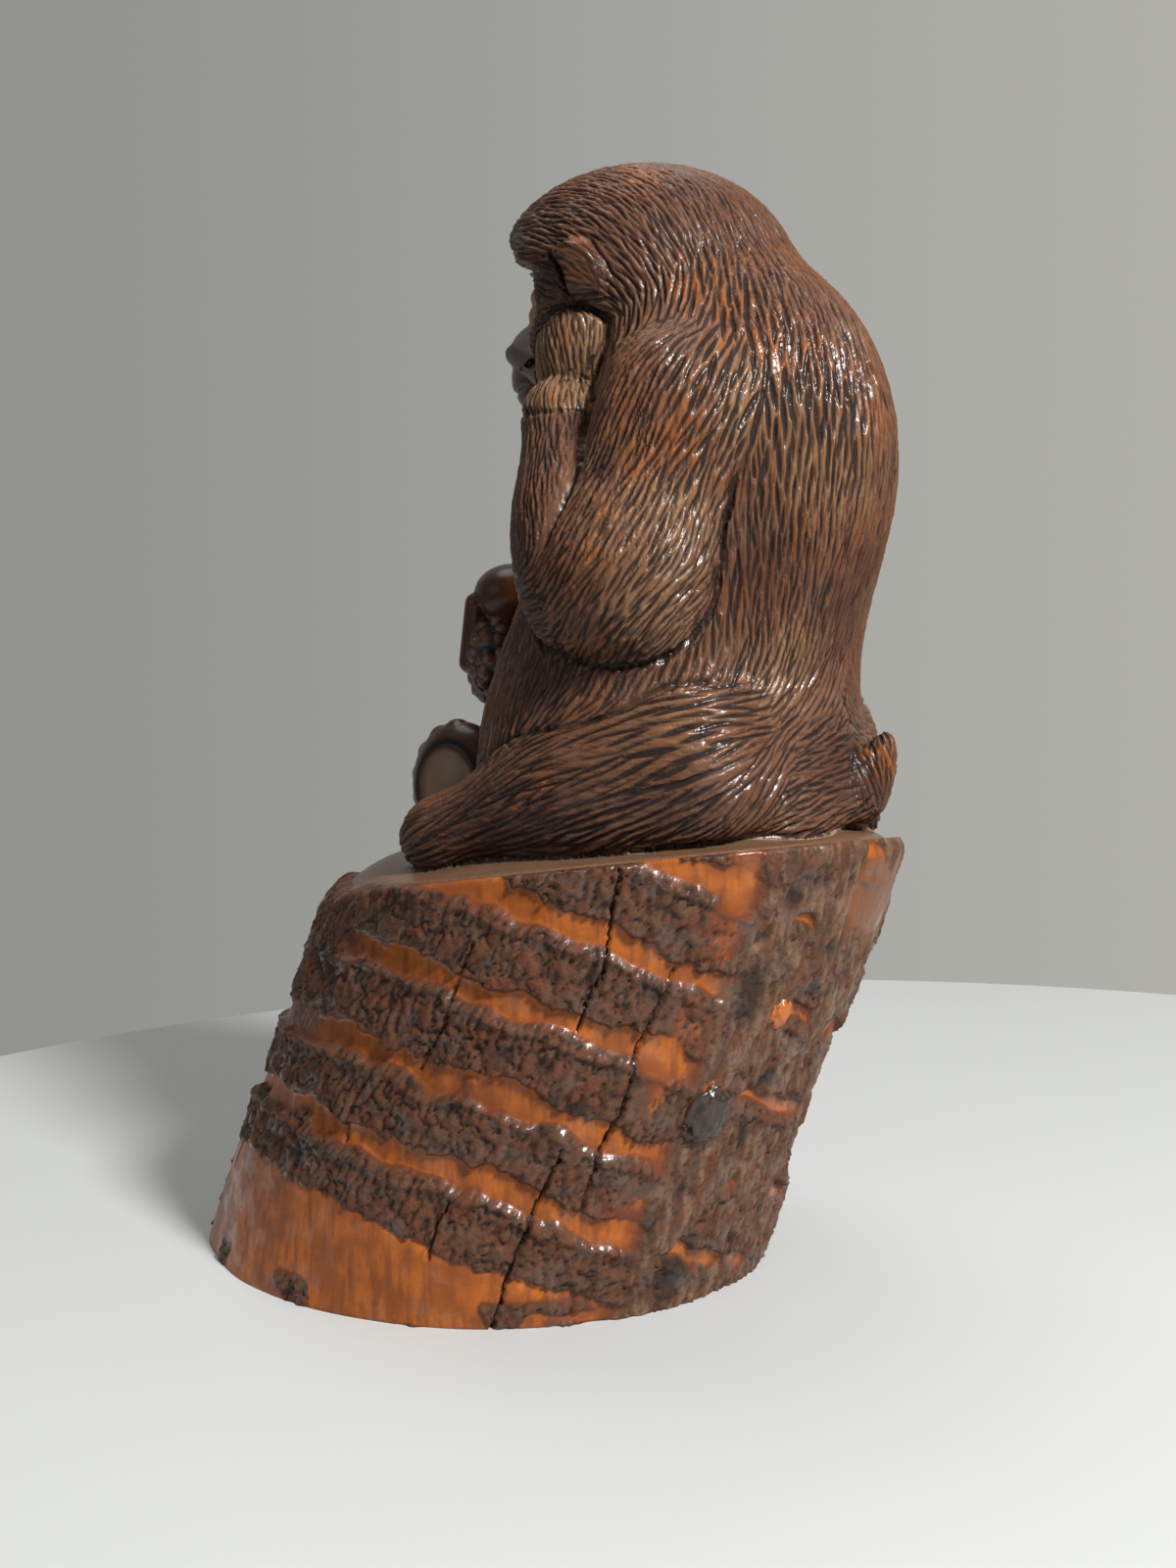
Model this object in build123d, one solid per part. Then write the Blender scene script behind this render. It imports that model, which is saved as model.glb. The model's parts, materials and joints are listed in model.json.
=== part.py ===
"""Seated monkey carved on a leaning bamboo-root stump, in millimetres.

+Z is up, the figure faces -Y and its left side is +X. The origin is the centre of the stump's flat foot.
The carving is divided along its carved creases: each member is a solid that ends where a larger one begins.
"""
import os
from math import cos, radians, sin, tan

from build123d import *

# Stump: a ringed root that leans towards the figure's back
stem_radius = 57.0
stem_lean_angle = 20.6
stem_taper_angle = 1.7
ring_tilt_angle = 20.0
ring_heading_angle = 20.0
ring_pitch = 17.6
ring_first_height = -4.2
ring_ridge = 1.8
groove_width = 6.0
ridge_width = 8.4
ring_count = 8
rings_below_foot = 2
rim_height = 83.0
rim_slope_angle = 9.4
rim_side_slope_angle = 4.9

# Natural scars on the stump's rear shoulder
scoop_width = 66.0
scoop_height = 48.0
scoop_depth = 10.0
scoop_turn_angle = 118.0
scoop_height_on_stem = 58.0
bud_width = 8.0
bud_height = 12.0
bud_stand = 3.0
bud_turn_angle = 57.0
bud_height_on_stem = 61.0
knot_width = 7.0
knot_height = 6.0
knot_stand = 2.5
knot_turn_angle = 67.0
knot_height_on_stem = 82.0

# Plinth: the smooth carved ledge on top of the stump
plinth_height = 3.0
plinth_width = 107.0
plinth_depth = 121.0
plinth_inset = 9.0
seat_slope_angle = 11.8

# Figure: overall sizes that every place on it follows
figure_width = 96.0
figure_depth = 100.0
figure_height = 140.0
figure_setback = 44.0
figure_sink = 4.0

# Torso
rump_width = 85.0
rump_depth = 77.0
chest_width = 63.0
chest_depth = 67.0
shoulder_width = 60.0
shoulder_depth = 60.0
neck_width = 50.0
neck_depth = 50.0
torso_sections_shares = (
    ("rump", 0.92, -0.015, -0.03),
    ("rump", 1.0, 0.0, 0.15),
    ("rump", 0.9, 0.015, 0.32),
    ("chest", 1.0, 0.105, 0.54),
    ("shoulder", 1.0, 0.12, 0.68),
    ("neck", 1.0, 0.1, 0.78),
    ("neck", 0.62, 0.01, 0.87),
)

# Head
head_width = 55.0
head_depth = 62.0
head_height = 45.0
head_share = (0.0, -0.075, 0.832)
brow_overhang = 13.0
brow_lift = 6.0
face_width = 36.0
face_depth = 33.0
face_height = 38.0
face_share = (0.0, -0.155, 0.775)
muzzle_width = 25.0
muzzle_depth = 26.0
muzzle_height = 20.0
muzzle_share = (0.0, -0.23, 0.705)
eye_radius = 3.4
eye_share = (0.085, -0.275, 0.825)
ear_width = 9.0
ear_depth = 11.5
ear_height = 14.0
ear_share = (0.27, -0.08, 0.82)
ear_hollow_depth = 2.2

# Arms
left_shoulder_share = (0.275, 0.13, 0.635)
right_shoulder_share = (-0.275, 0.08, 0.62)
shoulder_radius = 15.0
upper_arm_radius = 14.0
elbow_radius = 16.5
forearm_root_radius = 14.0
forearm_radius = 12.5
wrist_radius = 8.8
left_elbow_share = (0.35, 0.055, 0.415)
left_forearm_root_share = (0.345, -0.015, 0.41)
left_wrist_share = (0.23, -0.125, 0.63)
right_elbow_share = (-0.345, 0.01, 0.39)
right_forearm_root_share = (-0.34, -0.04, 0.385)
right_wrist_share = (-0.17, -0.35, 0.4)

# Hands, fingers and the fruit
left_hand_width = 21.0
left_hand_depth = 22.0
left_hand_height = 25.0
left_hand_share = (0.19, -0.14, 0.718)
right_hand_width = 18.0
right_hand_depth = 16.0
right_hand_height = 13.0
right_hand_share = (-0.075, -0.42, 0.394)
finger_radius = 2.3
finger_count = 4
left_finger_roots_shares = ((0.177, -0.18, 0.793), (0.156, -0.21, 0.7))
left_finger_tips_shares = ((0.055, -0.325, 0.817), (0.05, -0.34, 0.75))
right_finger_roots_shares = ((-0.145, -0.49, 0.38), (-0.01, -0.475, 0.38))
right_finger_tips_shares = ((-0.14, -0.51, 0.29), (-0.025, -0.5, 0.29))
fruit_width = 19.0
fruit_depth = 16.0
fruit_height = 24.0
fruit_share = (-0.083, -0.45, 0.3)

# Legs and feet
hip_radius = 19.0
thigh_radius = 18.0
knee_radius = 11.5
shin_radius = 8.5
ankle_radius = 7.0
hip_share = (0.27, 0.145, 0.157)
knee_share = (0.33, -0.32, 0.065)
left_shin_share = (0.27, -0.36, 0.035)
left_ankle_share = (-0.1, -0.46, 0.005)
right_shin_share = (-0.28, -0.36, 0.065)
right_ankle_share = (0.0, -0.47, 0.06)
foot_width = 14.0
foot_depth = 20.0
foot_height = 24.0
right_foot_share = (0.06, -0.46, 0.1)
left_foot_share = (-0.21, -0.47, 0.03)
toe_radius = 3.0
toe_inset = 1.4
toe_count = 5
toe_first_angle = 95.0
toe_last_angle = 195.0

# Tail
tail_radius = 5.2
tail_tip_radius = 3.8
tail_root_share = (0.0, 0.385, 0.11)
tail_tip_share = (0.0, 0.425, 0.2)

# Room that a cutting shape takes beyond what it cuts
overrun = 40.0

pieces = {}
masses = []


def spot(share):
    """A place on the figure from shares of its width, depth and height above the rim."""
    across, back, up = share
    return Vector(
        across * figure_width,
        figure_setback + back * figure_depth,
        rim_height + plinth_height - figure_sink + up * figure_height,
    )


def ellipsoid(centre, width, depth, height):
    """An egg-shaped mass with its axes along X, Y and Z."""
    return Pos(*centre) * scale(Sphere(1), by=(width / 2, depth / 2, height / 2))


def spindle(start, end, start_radius, middle_radius, end_radius):
    """A limb turned about the line from start to end, with round ends and a swelling or a waist."""
    length = (end - start).length
    slant = cos(radians(45))
    start_cap = ThreePointArc(
        (0, 0, -start_radius), (slant * start_radius, 0, -slant * start_radius), (start_radius, 0, 0)
    )
    side = Spline(
        (start_radius, 0, 0),
        (middle_radius, 0, length / 2),
        (end_radius, 0, length),
        tangents=((0, 0, 1), (0, 0, 1)),
    )
    end_cap = ThreePointArc(
        (end_radius, 0, length),
        (slant * end_radius, 0, length + slant * end_radius),
        (0, 0, length + end_radius),
    )
    closing = Line(end_cap @ 1, start_cap @ 0)
    limb = revolve(make_face([start_cap, side, end_cap, closing]), Axis.Z)
    return Plane(origin=start, z_dir=end - start) * limb


def boxes_meet(first, second):
    """Whether two bounding boxes touch."""
    apart = (
        first.min.X > second.max.X or second.min.X > first.max.X
        or first.min.Y > second.max.Y or second.min.Y > first.max.Y
        or first.min.Z > second.max.Z or second.min.Z > first.max.Z
    )
    return not apart


def trimmed(shape):
    """The shape cut back from every mass shaped before it, without loose slivers."""
    left, box = shape, shape.bounding_box()
    for mass, mass_box in masses:
        if boxes_meet(mass_box, box):
            left = max((left - mass).solids(), key=lambda solid: solid.volume)
    masses.append((shape, box))
    return left


def claim(name, *shapes):
    """Adds a piece, or a group of like pieces, that fills what earlier masses leave free."""
    solids = []
    for shape in shapes:
        solids.append(trimmed(shape))
    pieces[name] = solids[0] if len(solids) == 1 else Compound(children=solids)


def mirrored(share):
    """The same place on the figure's other side."""
    across, back, up = share
    return (-across, back, up)


def between(first, last, count):
    """Evenly spaced values from first to last."""
    return [first + (last - first) * step / (count - 1) for step in range(count)]


def stem_axis():
    """Direction in which the stump leans."""
    lean = radians(stem_lean_angle)
    return Vector(0, sin(lean), cos(lean))


def ring_normal():
    """Direction square to the root's oblique rings."""
    heading = radians(ring_heading_angle)
    tilt = radians(ring_tilt_angle)
    return Vector(-sin(tilt) * cos(heading), -sin(tilt) * sin(heading), cos(tilt)).rotate(
        Axis.X, -stem_lean_angle
    )


def ring_section(height, radius):
    """Outline of the stump in one oblique ring plane, at a height along its axis."""
    plane = Plane(
        origin=stem_axis() * height,
        x_dir=stem_axis().cross(ring_normal()),
        z_dir=ring_normal(),
    )
    return plane * Ellipse(radius, radius / cos(radians(ring_tilt_angle)))


def sloping_plane(height, slope_angle):
    """A plane that rises to the back by its slope, and to the figure's left as the rim does."""
    side = tan(radians(rim_side_slope_angle))
    back = tan(radians(slope_angle))
    return Plane(origin=(0, figure_setback, height), x_dir=(1, 0, side), z_dir=(-side, -back, 1))


def rim_plane():
    """The sloping plane that tops the stump."""
    return sloping_plane(rim_height, rim_slope_angle)


def stem_radius_at(height):
    """Radius of the root at a height along its axis."""
    return stem_radius - height * tan(radians(stem_taper_angle))


def stem_surface_plane(height, turn_angle):
    """Plane on the stump's side at a height along its axis, facing outwards."""
    around = Plane(origin=stem_axis() * height, x_dir=(1, 0, 0), z_dir=stem_axis())
    turn = radians(turn_angle)
    outward = around.x_dir * cos(turn) + around.y_dir * sin(turn)
    return Plane(origin=around.origin + outward * stem_radius_at(height), x_dir=stem_axis(), z_dir=outward)


def make_stump():
    """Ringed root, cut level at the foot and on a slope at the rim."""
    sections = []
    edge = (ring_pitch - groove_width - ridge_width) / 2
    for ring in range(-rings_below_foot, ring_count):
        groove = ring_first_height + ring * ring_pitch
        ridge = groove + groove_width + edge
        for height, depth in (
            (groove, ring_ridge), (groove + groove_width, ring_ridge), (ridge, 0), (ridge + ridge_width, 0)
        ):
            sections.append(ring_section(height, stem_radius_at(height) - depth))
    stem = loft(sections, ruled=True)
    stem = split(stem, bisect_by=Plane.XY, keep=Keep.TOP)
    stem = split(stem, bisect_by=rim_plane(), keep=Keep.BOTTOM)
    return stem - make_scar(
        scoop_height_on_stem, scoop_turn_angle, scoop_width, scoop_height, scoop_depth
    )


def make_scar(height, turn_angle, width, tall, stand):
    """A flat egg set half into the stump's side: a bud, a knot, or what cuts the hollow."""
    plane = stem_surface_plane(height, turn_angle)
    return plane * scale(Sphere(1), by=(tall / 2, width / 2, stand))


def make_plinth():
    """Smooth ledge with a sloping border, from the rim to the steeper seat."""
    sections = []
    for plane, inset in (
        (rim_plane(), 0),
        (sloping_plane(rim_height + plinth_height, seat_slope_angle), plinth_inset),
    ):
        reach = plane.origin.dot(plane.z_dir) / stem_axis().dot(plane.z_dir)
        centre = plane.to_local_coords(stem_axis() * reach)
        oval = Ellipse(plinth_width / 2 - inset, plinth_depth / 2 - inset)
        sections.append(plane * Pos(centre.X, centre.Y) * oval)
    return loft(sections)


def make_torso():
    """Rump, chest, shoulders and neck lofted through level ovals."""
    sizes = {
        "rump": (rump_width, rump_depth),
        "chest": (chest_width, chest_depth),
        "shoulder": (shoulder_width, shoulder_depth),
        "neck": (neck_width, neck_depth),
    }
    sections = []
    for part, size_share, back, up in torso_sections_shares:
        width, depth = sizes[part]
        level = Plane(origin=spot((0, back, up)))
        sections.append(level * Ellipse(size_share * width / 2, size_share * depth / 2))
    return loft(sections)


def make_head():
    """Skull with a brow that overhangs the cut-back face."""
    centre = spot(head_share)
    skull = ellipsoid(centre, head_width, head_depth, head_height)
    brow = centre + Vector(0, -head_depth / 2 + brow_overhang, brow_lift)
    recess = Plane(origin=brow, x_dir=(1, 0, 0), z_dir=(0, -1, 0)) * Box(
        head_width + overrun, head_height, overrun, align=(Align.CENTER, Align.MAX, Align.MIN)
    )
    return skull - recess


def make_ear(share, side):
    """Upright ear with a shallow hollow facing forwards and outwards."""
    centre = spot(share)
    ear = ellipsoid(centre, ear_width, ear_depth, ear_height)
    hollow_centre = centre + Vector(side * ear_width / 2, -ear_depth / 4, 0)
    hollow = ellipsoid(hollow_centre, 2 * ear_hollow_depth, ear_depth / 2, ear_height / 2)
    return ear - hollow


def make_fingers(roots_shares, tips_shares):
    """Fingers in a row, from the first pair of root and tip to the last."""
    first_root, last_root = [spot(share) for share in roots_shares]
    first_tip, last_tip = [spot(share) for share in tips_shares]
    fingers = []
    for part in between(0.0, 1.0, finger_count):
        root = first_root + (last_root - first_root) * part
        tip = first_tip + (last_tip - first_tip) * part
        fingers.append(spindle(root, tip, finger_radius, finger_radius, finger_radius))
    return fingers


def make_toes(share):
    """Toes round the front rim of an upturned foot."""
    centre = spot(share)
    reach = foot_depth / 2 - toe_inset
    rise = foot_height / 2 - toe_inset
    toes = []
    for angle in between(toe_first_angle, toe_last_angle, toe_count):
        turn = radians(angle)
        place = centre + Vector(0, reach * cos(turn), rise * sin(turn))
        toes.append(Pos(*place) * Sphere(toe_radius))
    return toes


claim("stump", make_stump())
claim("root_bud", make_scar(bud_height_on_stem, bud_turn_angle, bud_width, bud_height, bud_stand))
claim("side_knot", make_scar(knot_height_on_stem, knot_turn_angle, knot_width, knot_height, knot_stand))
claim("seat_plinth", make_plinth())
claim("torso", make_torso())
claim("head", make_head())
claim("face", ellipsoid(spot(face_share), face_width, face_depth, face_height))
claim("muzzle", ellipsoid(spot(muzzle_share), muzzle_width, muzzle_depth, muzzle_height))
eye_ball = Pos(*spot(eye_share)) * Sphere(eye_radius)
claim("left_eye", eye_ball)
claim("right_eye", mirror(eye_ball, about=Plane.YZ))
claim("left_ear", make_ear(ear_share, 1))
claim("right_ear", make_ear(mirrored(ear_share), -1))
claim("left_thigh", spindle(spot(hip_share), spot(knee_share), hip_radius, thigh_radius, knee_radius))
claim(
    "right_thigh",
    spindle(spot(mirrored(hip_share)), spot(mirrored(knee_share)), hip_radius, thigh_radius, knee_radius),
)
claim(
    "left_shin",
    spindle(spot(left_shin_share), spot(left_ankle_share), shin_radius, shin_radius, ankle_radius),
)
claim(
    "right_shin",
    spindle(spot(right_shin_share), spot(right_ankle_share), shin_radius, shin_radius, ankle_radius),
)
claim("right_foot", ellipsoid(spot(right_foot_share), foot_width, foot_depth, foot_height))
claim("left_foot", ellipsoid(spot(left_foot_share), foot_width, foot_depth, foot_height))
claim("right_toes", *make_toes(right_foot_share))
claim("left_toes", *make_toes(left_foot_share))
claim(
    "left_upper_arm",
    spindle(
        spot(left_shoulder_share), spot(left_elbow_share), shoulder_radius, upper_arm_radius, elbow_radius
    ),
)
claim(
    "right_upper_arm",
    spindle(
        spot(right_shoulder_share), spot(right_elbow_share), shoulder_radius, upper_arm_radius, elbow_radius
    ),
)
claim(
    "left_forearm",
    spindle(
        spot(left_forearm_root_share),
        spot(left_wrist_share),
        forearm_root_radius,
        forearm_radius,
        wrist_radius,
    ),
)
claim(
    "right_forearm",
    spindle(
        spot(right_forearm_root_share),
        spot(right_wrist_share),
        forearm_root_radius,
        forearm_radius,
        wrist_radius,
    ),
)
claim("left_hand", ellipsoid(spot(left_hand_share), left_hand_width, left_hand_depth, left_hand_height))
claim("right_hand", ellipsoid(spot(right_hand_share), right_hand_width, right_hand_depth, right_hand_height))
claim("held_fruit", ellipsoid(spot(fruit_share), fruit_width, fruit_depth, fruit_height))
claim("left_fingers", *make_fingers(left_finger_roots_shares, left_finger_tips_shares))
claim("right_fingers", *make_fingers(right_finger_roots_shares, right_finger_tips_shares))
claim(
    "tail",
    spindle(spot(tail_root_share), spot(tail_tip_share), tail_radius, tail_radius, tail_tip_radius),
)

os.makedirs("parts", exist_ok=True)
for name, piece in pieces.items():
    export_step(piece, f"parts/{name}.step")
    print(f"{name}: {len(piece.solids())} solids, {piece.volume:.0f} mm3")
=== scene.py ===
"""Looks of a seated monkey carved on a root stump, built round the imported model, in metres.

The figure is carved from one skin: copies of its members are fused, smoothed where the wood flows over,
cut with fur strokes and creases, and divided again at the members. The stump is a ringed bark surface.
"""

import json
import math

import bmesh
import bpy
import numpy as np
from bpy.props import FloatProperty, FloatVectorProperty, IntProperty, PointerProperty
from mathutils import Matrix, Vector, noise
from mathutils.bvhtree import BVHTree
from mathutils.kdtree import KDTree


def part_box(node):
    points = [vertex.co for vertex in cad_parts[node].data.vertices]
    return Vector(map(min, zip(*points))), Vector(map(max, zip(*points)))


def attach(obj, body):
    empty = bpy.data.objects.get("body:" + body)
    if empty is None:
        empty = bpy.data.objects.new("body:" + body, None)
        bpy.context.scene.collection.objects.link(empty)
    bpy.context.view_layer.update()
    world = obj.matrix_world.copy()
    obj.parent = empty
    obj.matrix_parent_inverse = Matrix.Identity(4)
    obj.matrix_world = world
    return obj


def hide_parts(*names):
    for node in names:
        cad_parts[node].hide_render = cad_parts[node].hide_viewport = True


bl_info = {
    "name": "Carved monkey on a root stump",
    "version": (1, 0, 0),
    "blender": (4, 5, 0),
    "location": "View3D > Sidebar > Carving",
    "description": "Carves the fur, bark and ledge of a seated monkey ornament round its packed model",
    "category": "Object",
}

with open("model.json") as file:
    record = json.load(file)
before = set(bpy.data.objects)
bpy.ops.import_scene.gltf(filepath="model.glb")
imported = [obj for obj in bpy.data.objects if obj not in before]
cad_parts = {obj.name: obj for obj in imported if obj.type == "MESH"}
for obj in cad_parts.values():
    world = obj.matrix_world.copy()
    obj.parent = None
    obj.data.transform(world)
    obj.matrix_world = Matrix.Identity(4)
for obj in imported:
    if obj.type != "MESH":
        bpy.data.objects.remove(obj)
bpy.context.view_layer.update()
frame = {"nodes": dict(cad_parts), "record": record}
mm = 0.001

# Members of the figure whose surfaces flow into one another
flowing_members = (
    "torso", "head", "left_upper_arm", "right_upper_arm", "left_forearm", "right_forearm",
    "left_thigh", "right_thigh", "left_shin", "right_shin", "tail",
)
# Members that keep their own crisp outline
crisp_members = (
    "seat_plinth", "face", "muzzle", "left_eye", "right_eye", "left_hand", "right_hand", "held_fruit",
    "left_fingers", "right_fingers", "left_foot", "right_foot", "left_toes", "right_toes",
)
blank_members = flowing_members + crisp_members
# The ears are raised from the head afterwards
members = blank_members + ("left_ear", "right_ear")
# Fur strokes on each furred member: half length, half width and depth in millimetres
fur_strokes = {
    "torso": (4.2, 0.56, 0.56),
    "head": (2.9, 0.45, 0.46),
    "left_upper_arm": (3.9, 0.56, 0.56),
    "right_upper_arm": (3.9, 0.56, 0.56),
    "left_forearm": (3.2, 0.5, 0.46),
    "right_forearm": (3.2, 0.5, 0.46),
    "left_hand": (2.8, 0.5, 0.28),
    "left_thigh": (6.2, 0.56, 0.6),
    "right_thigh": (6.2, 0.56, 0.6),
    "left_shin": (4.0, 0.52, 0.5),
    "right_shin": (4.0, 0.52, 0.5),
    "tail": (2.6, 0.46, 0.42),
    "left_ear": (2.0, 0.42, 0.24),
    "right_ear": (2.0, 0.42, 0.24),
}
# Depth under the skin of the caps that close a cut piece
cap_depth = 2.6 * mm
# Middle and half sizes of each ball that fills the rump, in millimetres
rump_middle = (13, 72, 97)
rump_halves = (13, 10, 16)
# Height of the crease at the raised wrist
wrist_height = 170.7 * mm
# Creases between neighbours that the carver cut deeper: depth in millimetres
deep_creases = {
    ("left_upper_arm", "torso"): 1.3,
    ("right_upper_arm", "torso"): 1.3,
    ("left_upper_arm", "left_forearm"): 1.0,
    ("right_upper_arm", "right_forearm"): 1.0,
    ("left_forearm", "torso"): 1.0,
    ("left_thigh", "torso"): 0.7,
    ("right_thigh", "torso"): 0.7,
    ("left_hand", "left_forearm"): 0.5,
    ("left_hand", "left_fingers"): 0.5,
    ("left_hand", "face"): 1.0,
    ("left_hand", "muzzle"): 1.0,
    ("left_hand", "head"): 1.2,
    ("left_hand", "torso"): 1.0,
    ("left_shin", "left_thigh"): 0.6,
    ("right_shin", "right_thigh"): 0.6,
    ("right_foot", "left_thigh"): 0.9,
    ("right_foot", "torso"): 0.9,
    ("seat_plinth", "left_thigh"): 0.6,
    ("seat_plinth", "right_thigh"): 0.6,
    ("seat_plinth", "torso"): 0.6,
    ("tail", "torso"): 0.4,
}
# Members stained lighter or darker than their neighbours, and spots in the photograph, each a pixel column
# and row with a reach in millimetres on the wood
member_tones = {
    "head": -0.15, "left_forearm": -0.3, "left_hand": 0.32, "left_ear": 0.25, "right_ear": 0.25,
    "left_fingers": 0.08,
}
# Rubbed spots: wood worn to orange, and painted highlight where the key light catches the high places
rubbed_and_highlight_spots = (
    (790, 345, 9.0), (880, 372, 8.0), (890, 425, 8.0), (830, 355, 8.0), (760, 350, 7.0), (700, 300, 9.0),
    (545, 318, 4.5), (591, 250, 3.2), (525, 806, 5.0), (550, 792, 4.0), (598, 560, 3.5), (640, 425, 7.0),
    (690, 440, 7.0), (560, 405, 4.5), (650, 180, 9.0), (905, 770, 5.0), (540, 592, 4.0), (620, 520, 4.0),
    (575, 345, 3.0), (655, 470, 6.0), (520, 600, 4.0), (735, 300, 8.0),
)
# Pale spots: pale stain, and painted light where the key light falls
pale_and_lit_spots = (
    (690, 530, 13.0), (560, 520, 9.0), (840, 500, 13.0), (600, 370, 11.0), (585, 400, 8.0),
    (690, 750, 11.0), (720, 780, 8.0), (660, 640, 10.0), (598, 556, 3.0), (800, 660, 12.0), (760, 400, 12.0),
)
# Deep spots: deep stain, and painted shade on undersides, overhangs and the side turned from the light
deep_and_shaded_spots = (
    (860, 620, 12.0), (560, 850, 14.0), (480, 860, 12.0), (545, 560, 9.0), (700, 820, 14.0),
    (780, 580, 11.0), (550, 690, 10.0),
    (640, 680, 6.0), (860, 780, 10.0), (530, 640, 7.0), (560, 280, 6.0), (430, 870, 7.0),
    (618, 470, 3.5), (532, 388, 4.0),
    (588, 282, 7.0), (690, 460, 3.0),
)
bold_spots = ((780, 400, 14.0), (860, 420, 11.0), (715, 370, 8.0), (690, 760, 10.0))


# Lamps: offsets from the aim to the right, to the camera and up, width in metres, power in watts
stage_lamps = (
    ("key", 0.56, 0.74, 0.76, 0.22, 25.0),
    ("fill", -0.75, 0.6, 0.35, 0.7, 0.7),
    ("top", -0.1, -0.25, 0.95, 0.6, 2.6),
)


class CarvingSizes(bpy.types.PropertyGroup):
    """Sizes of the carved figure's surface"""

    blend_voxel: FloatProperty(
        name="Blend voxel", description="Grid on which members flow together", default=1.2 * mm, unit="LENGTH"
    )
    skin_voxel: FloatProperty(
        name="Skin voxel", description="Grid of the carved skin", default=0.335 * mm, unit="LENGTH"
    )
    blend_steps: IntProperty(
        name="Blend steps", description="Rounds of smoothing between members", default=60
    )
    blend_reach: FloatProperty(
        name="Blend reach", description="Distance from crisp members to full smoothing", default=5 * mm,
        unit="LENGTH",
    )
    swell: FloatProperty(
        name="Swell", description="Wood left on for the strokes to cut away", default=0.5 * mm, unit="LENGTH"
    )
    crease_reach: IntProperty(name="Crease reach", description="Rounds that widen a crease", default=4)
    seed: IntProperty(name="Seed", description="Seed of the strokes and the bark", default=7)


class StumpSizes(bpy.types.PropertyGroup):
    """Sizes of the ringed root"""

    radius: FloatProperty(name="Radius", description="Radius of the root", default=57 * mm, unit="LENGTH")
    lean: FloatProperty(
        name="Lean", description="Lean of the root to the back", default=math.radians(20.6), subtype="ANGLE"
    )
    taper: FloatProperty(
        name="Taper", description="Taper of the root to the rim", default=math.radians(1.7), subtype="ANGLE"
    )
    rim_height: FloatProperty(
        name="Rim height", description="Height of the rim at its centre", default=83 * mm, unit="LENGTH"
    )
    rim_setback: FloatProperty(
        name="Rim setback", description="Where the rim height is measured", default=44 * mm, unit="LENGTH"
    )
    rim_slope: FloatProperty(
        name="Rim slope", description="Rise of the rim to the back", default=math.radians(9.4),
        subtype="ANGLE",
    )
    rim_side_slope: FloatProperty(
        name="Rim side slope", description="Rise of the rim to the figure's left", default=math.radians(4.9),
        subtype="ANGLE",
    )
    front_height: FloatProperty(
        name="Front height", description="Level at which the rim's front ends", default=80 * mm, unit="LENGTH"
    )
    front_round: FloatProperty(
        name="Front rounding", description="Rounding of the rim's front corner", default=8 * mm, unit="LENGTH"
    )
    ledge_rise: FloatProperty(
        name="Ledge rise", description="Rise of the ledge from the rim to the seat", default=2.6 * mm,
        unit="LENGTH",
    )
    ring_pitch: FloatProperty(
        name="Ring pitch", description="Step between rings", default=17.6 * mm, unit="LENGTH"
    )
    ring_first: FloatProperty(
        name="First ring", description="Height of a polished groove on the axis", default=-1.2 * mm,
        unit="LENGTH",
    )
    ring_tilt: FloatProperty(
        name="Ring tilt", description="Tilt of the rings", default=math.radians(20), subtype="ANGLE"
    )
    ring_heading: FloatProperty(
        name="Ring heading", description="Turn at which the rings stand highest", default=math.radians(20),
        subtype="ANGLE",
    )
    around: IntProperty(name="Around", description="Grid steps round half of the root", default=420)
    along: IntProperty(name="Along", description="Grid steps up the root", default=190)


def wood_colour(name, description, shade):
    """A colour that a user can change."""
    return FloatVectorProperty(name=name, description=description, default=shade, subtype="COLOR")


class WoodColours(bpy.types.PropertyGroup):
    """Stain and varnish colours"""

    # Near-black: the eyes' own dark stain, and painted shade in the stroke grooves, creases and seams
    dark_stain_and_shade: wood_colour("Fur hollow", "Dark stain in the strokes", (0.009, 0.004, 0.003))
    # Deep purplish stain, also painted shade where the deep spots lie
    fur_deep: wood_colour("Fur deep", "Purplish stain on back and thigh", (0.05, 0.02, 0.013))
    fur_brown: wood_colour("Fur brown", "Stain on the fur", (0.125, 0.046, 0.019))
    fur_grey: wood_colour("Fur grey", "Dull stain on the fur", (0.118, 0.055, 0.029))
    # Pale olive stain, also painted light where the pale spots lie
    fur_pale: wood_colour("Fur pale", "Pale olive fur", (0.19, 0.098, 0.045))
    # Orange of worn wood, also a painted highlight on the rubbed spots and the tops of the fingers
    fur_worn_and_highlight: wood_colour("Fur worn", "Rubbed fur", (0.27, 0.078, 0.015))
    bare: wood_colour("Bare wood", "Stain on face, ears and feet", (0.055, 0.021, 0.011))
    # Pale wood of the soles, also painted light on the lit hand, and a pale band round the ledge's creases
    bare_pale: wood_colour("Pale bare wood", "Soles and varnish edges", (0.26, 0.175, 0.12))
    ledge: wood_colour("Ledge", "Stain on the ledge", (0.14, 0.08, 0.045))
    culm: wood_colour("Polished band", "Orange wood in the ring grooves", (0.38, 0.1, 0.011))
    culm_brown: wood_colour("Streaked band", "Brown streaks in the orange", (0.2, 0.052, 0.01))
    culm_dark: wood_colour("Red band", "Red-brown wood beside the grooves", (0.12, 0.032, 0.011))
    bark: wood_colour("Bark", "Dull bark", (0.085, 0.042, 0.024))
    bark_warm: wood_colour("Warm bark", "Browner bark", (0.095, 0.038, 0.018))
    bark_grey: wood_colour("Grey bark", "Weathered bark with long grain", (0.17, 0.095, 0.054))
    # Dark flecks, pores and scar, also painted shade in the bark's pits and cracks
    bark_dark: wood_colour("Dark bark", "Pits and outlines of the bark", (0.015, 0.009, 0.007))
    facet: wood_colour("Facet", "Smooth light-brown face", (0.2, 0.07, 0.016))
    hollow: wood_colour("Hollow", "Smooth beige hollow", (0.28, 0.165, 0.095))


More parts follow.
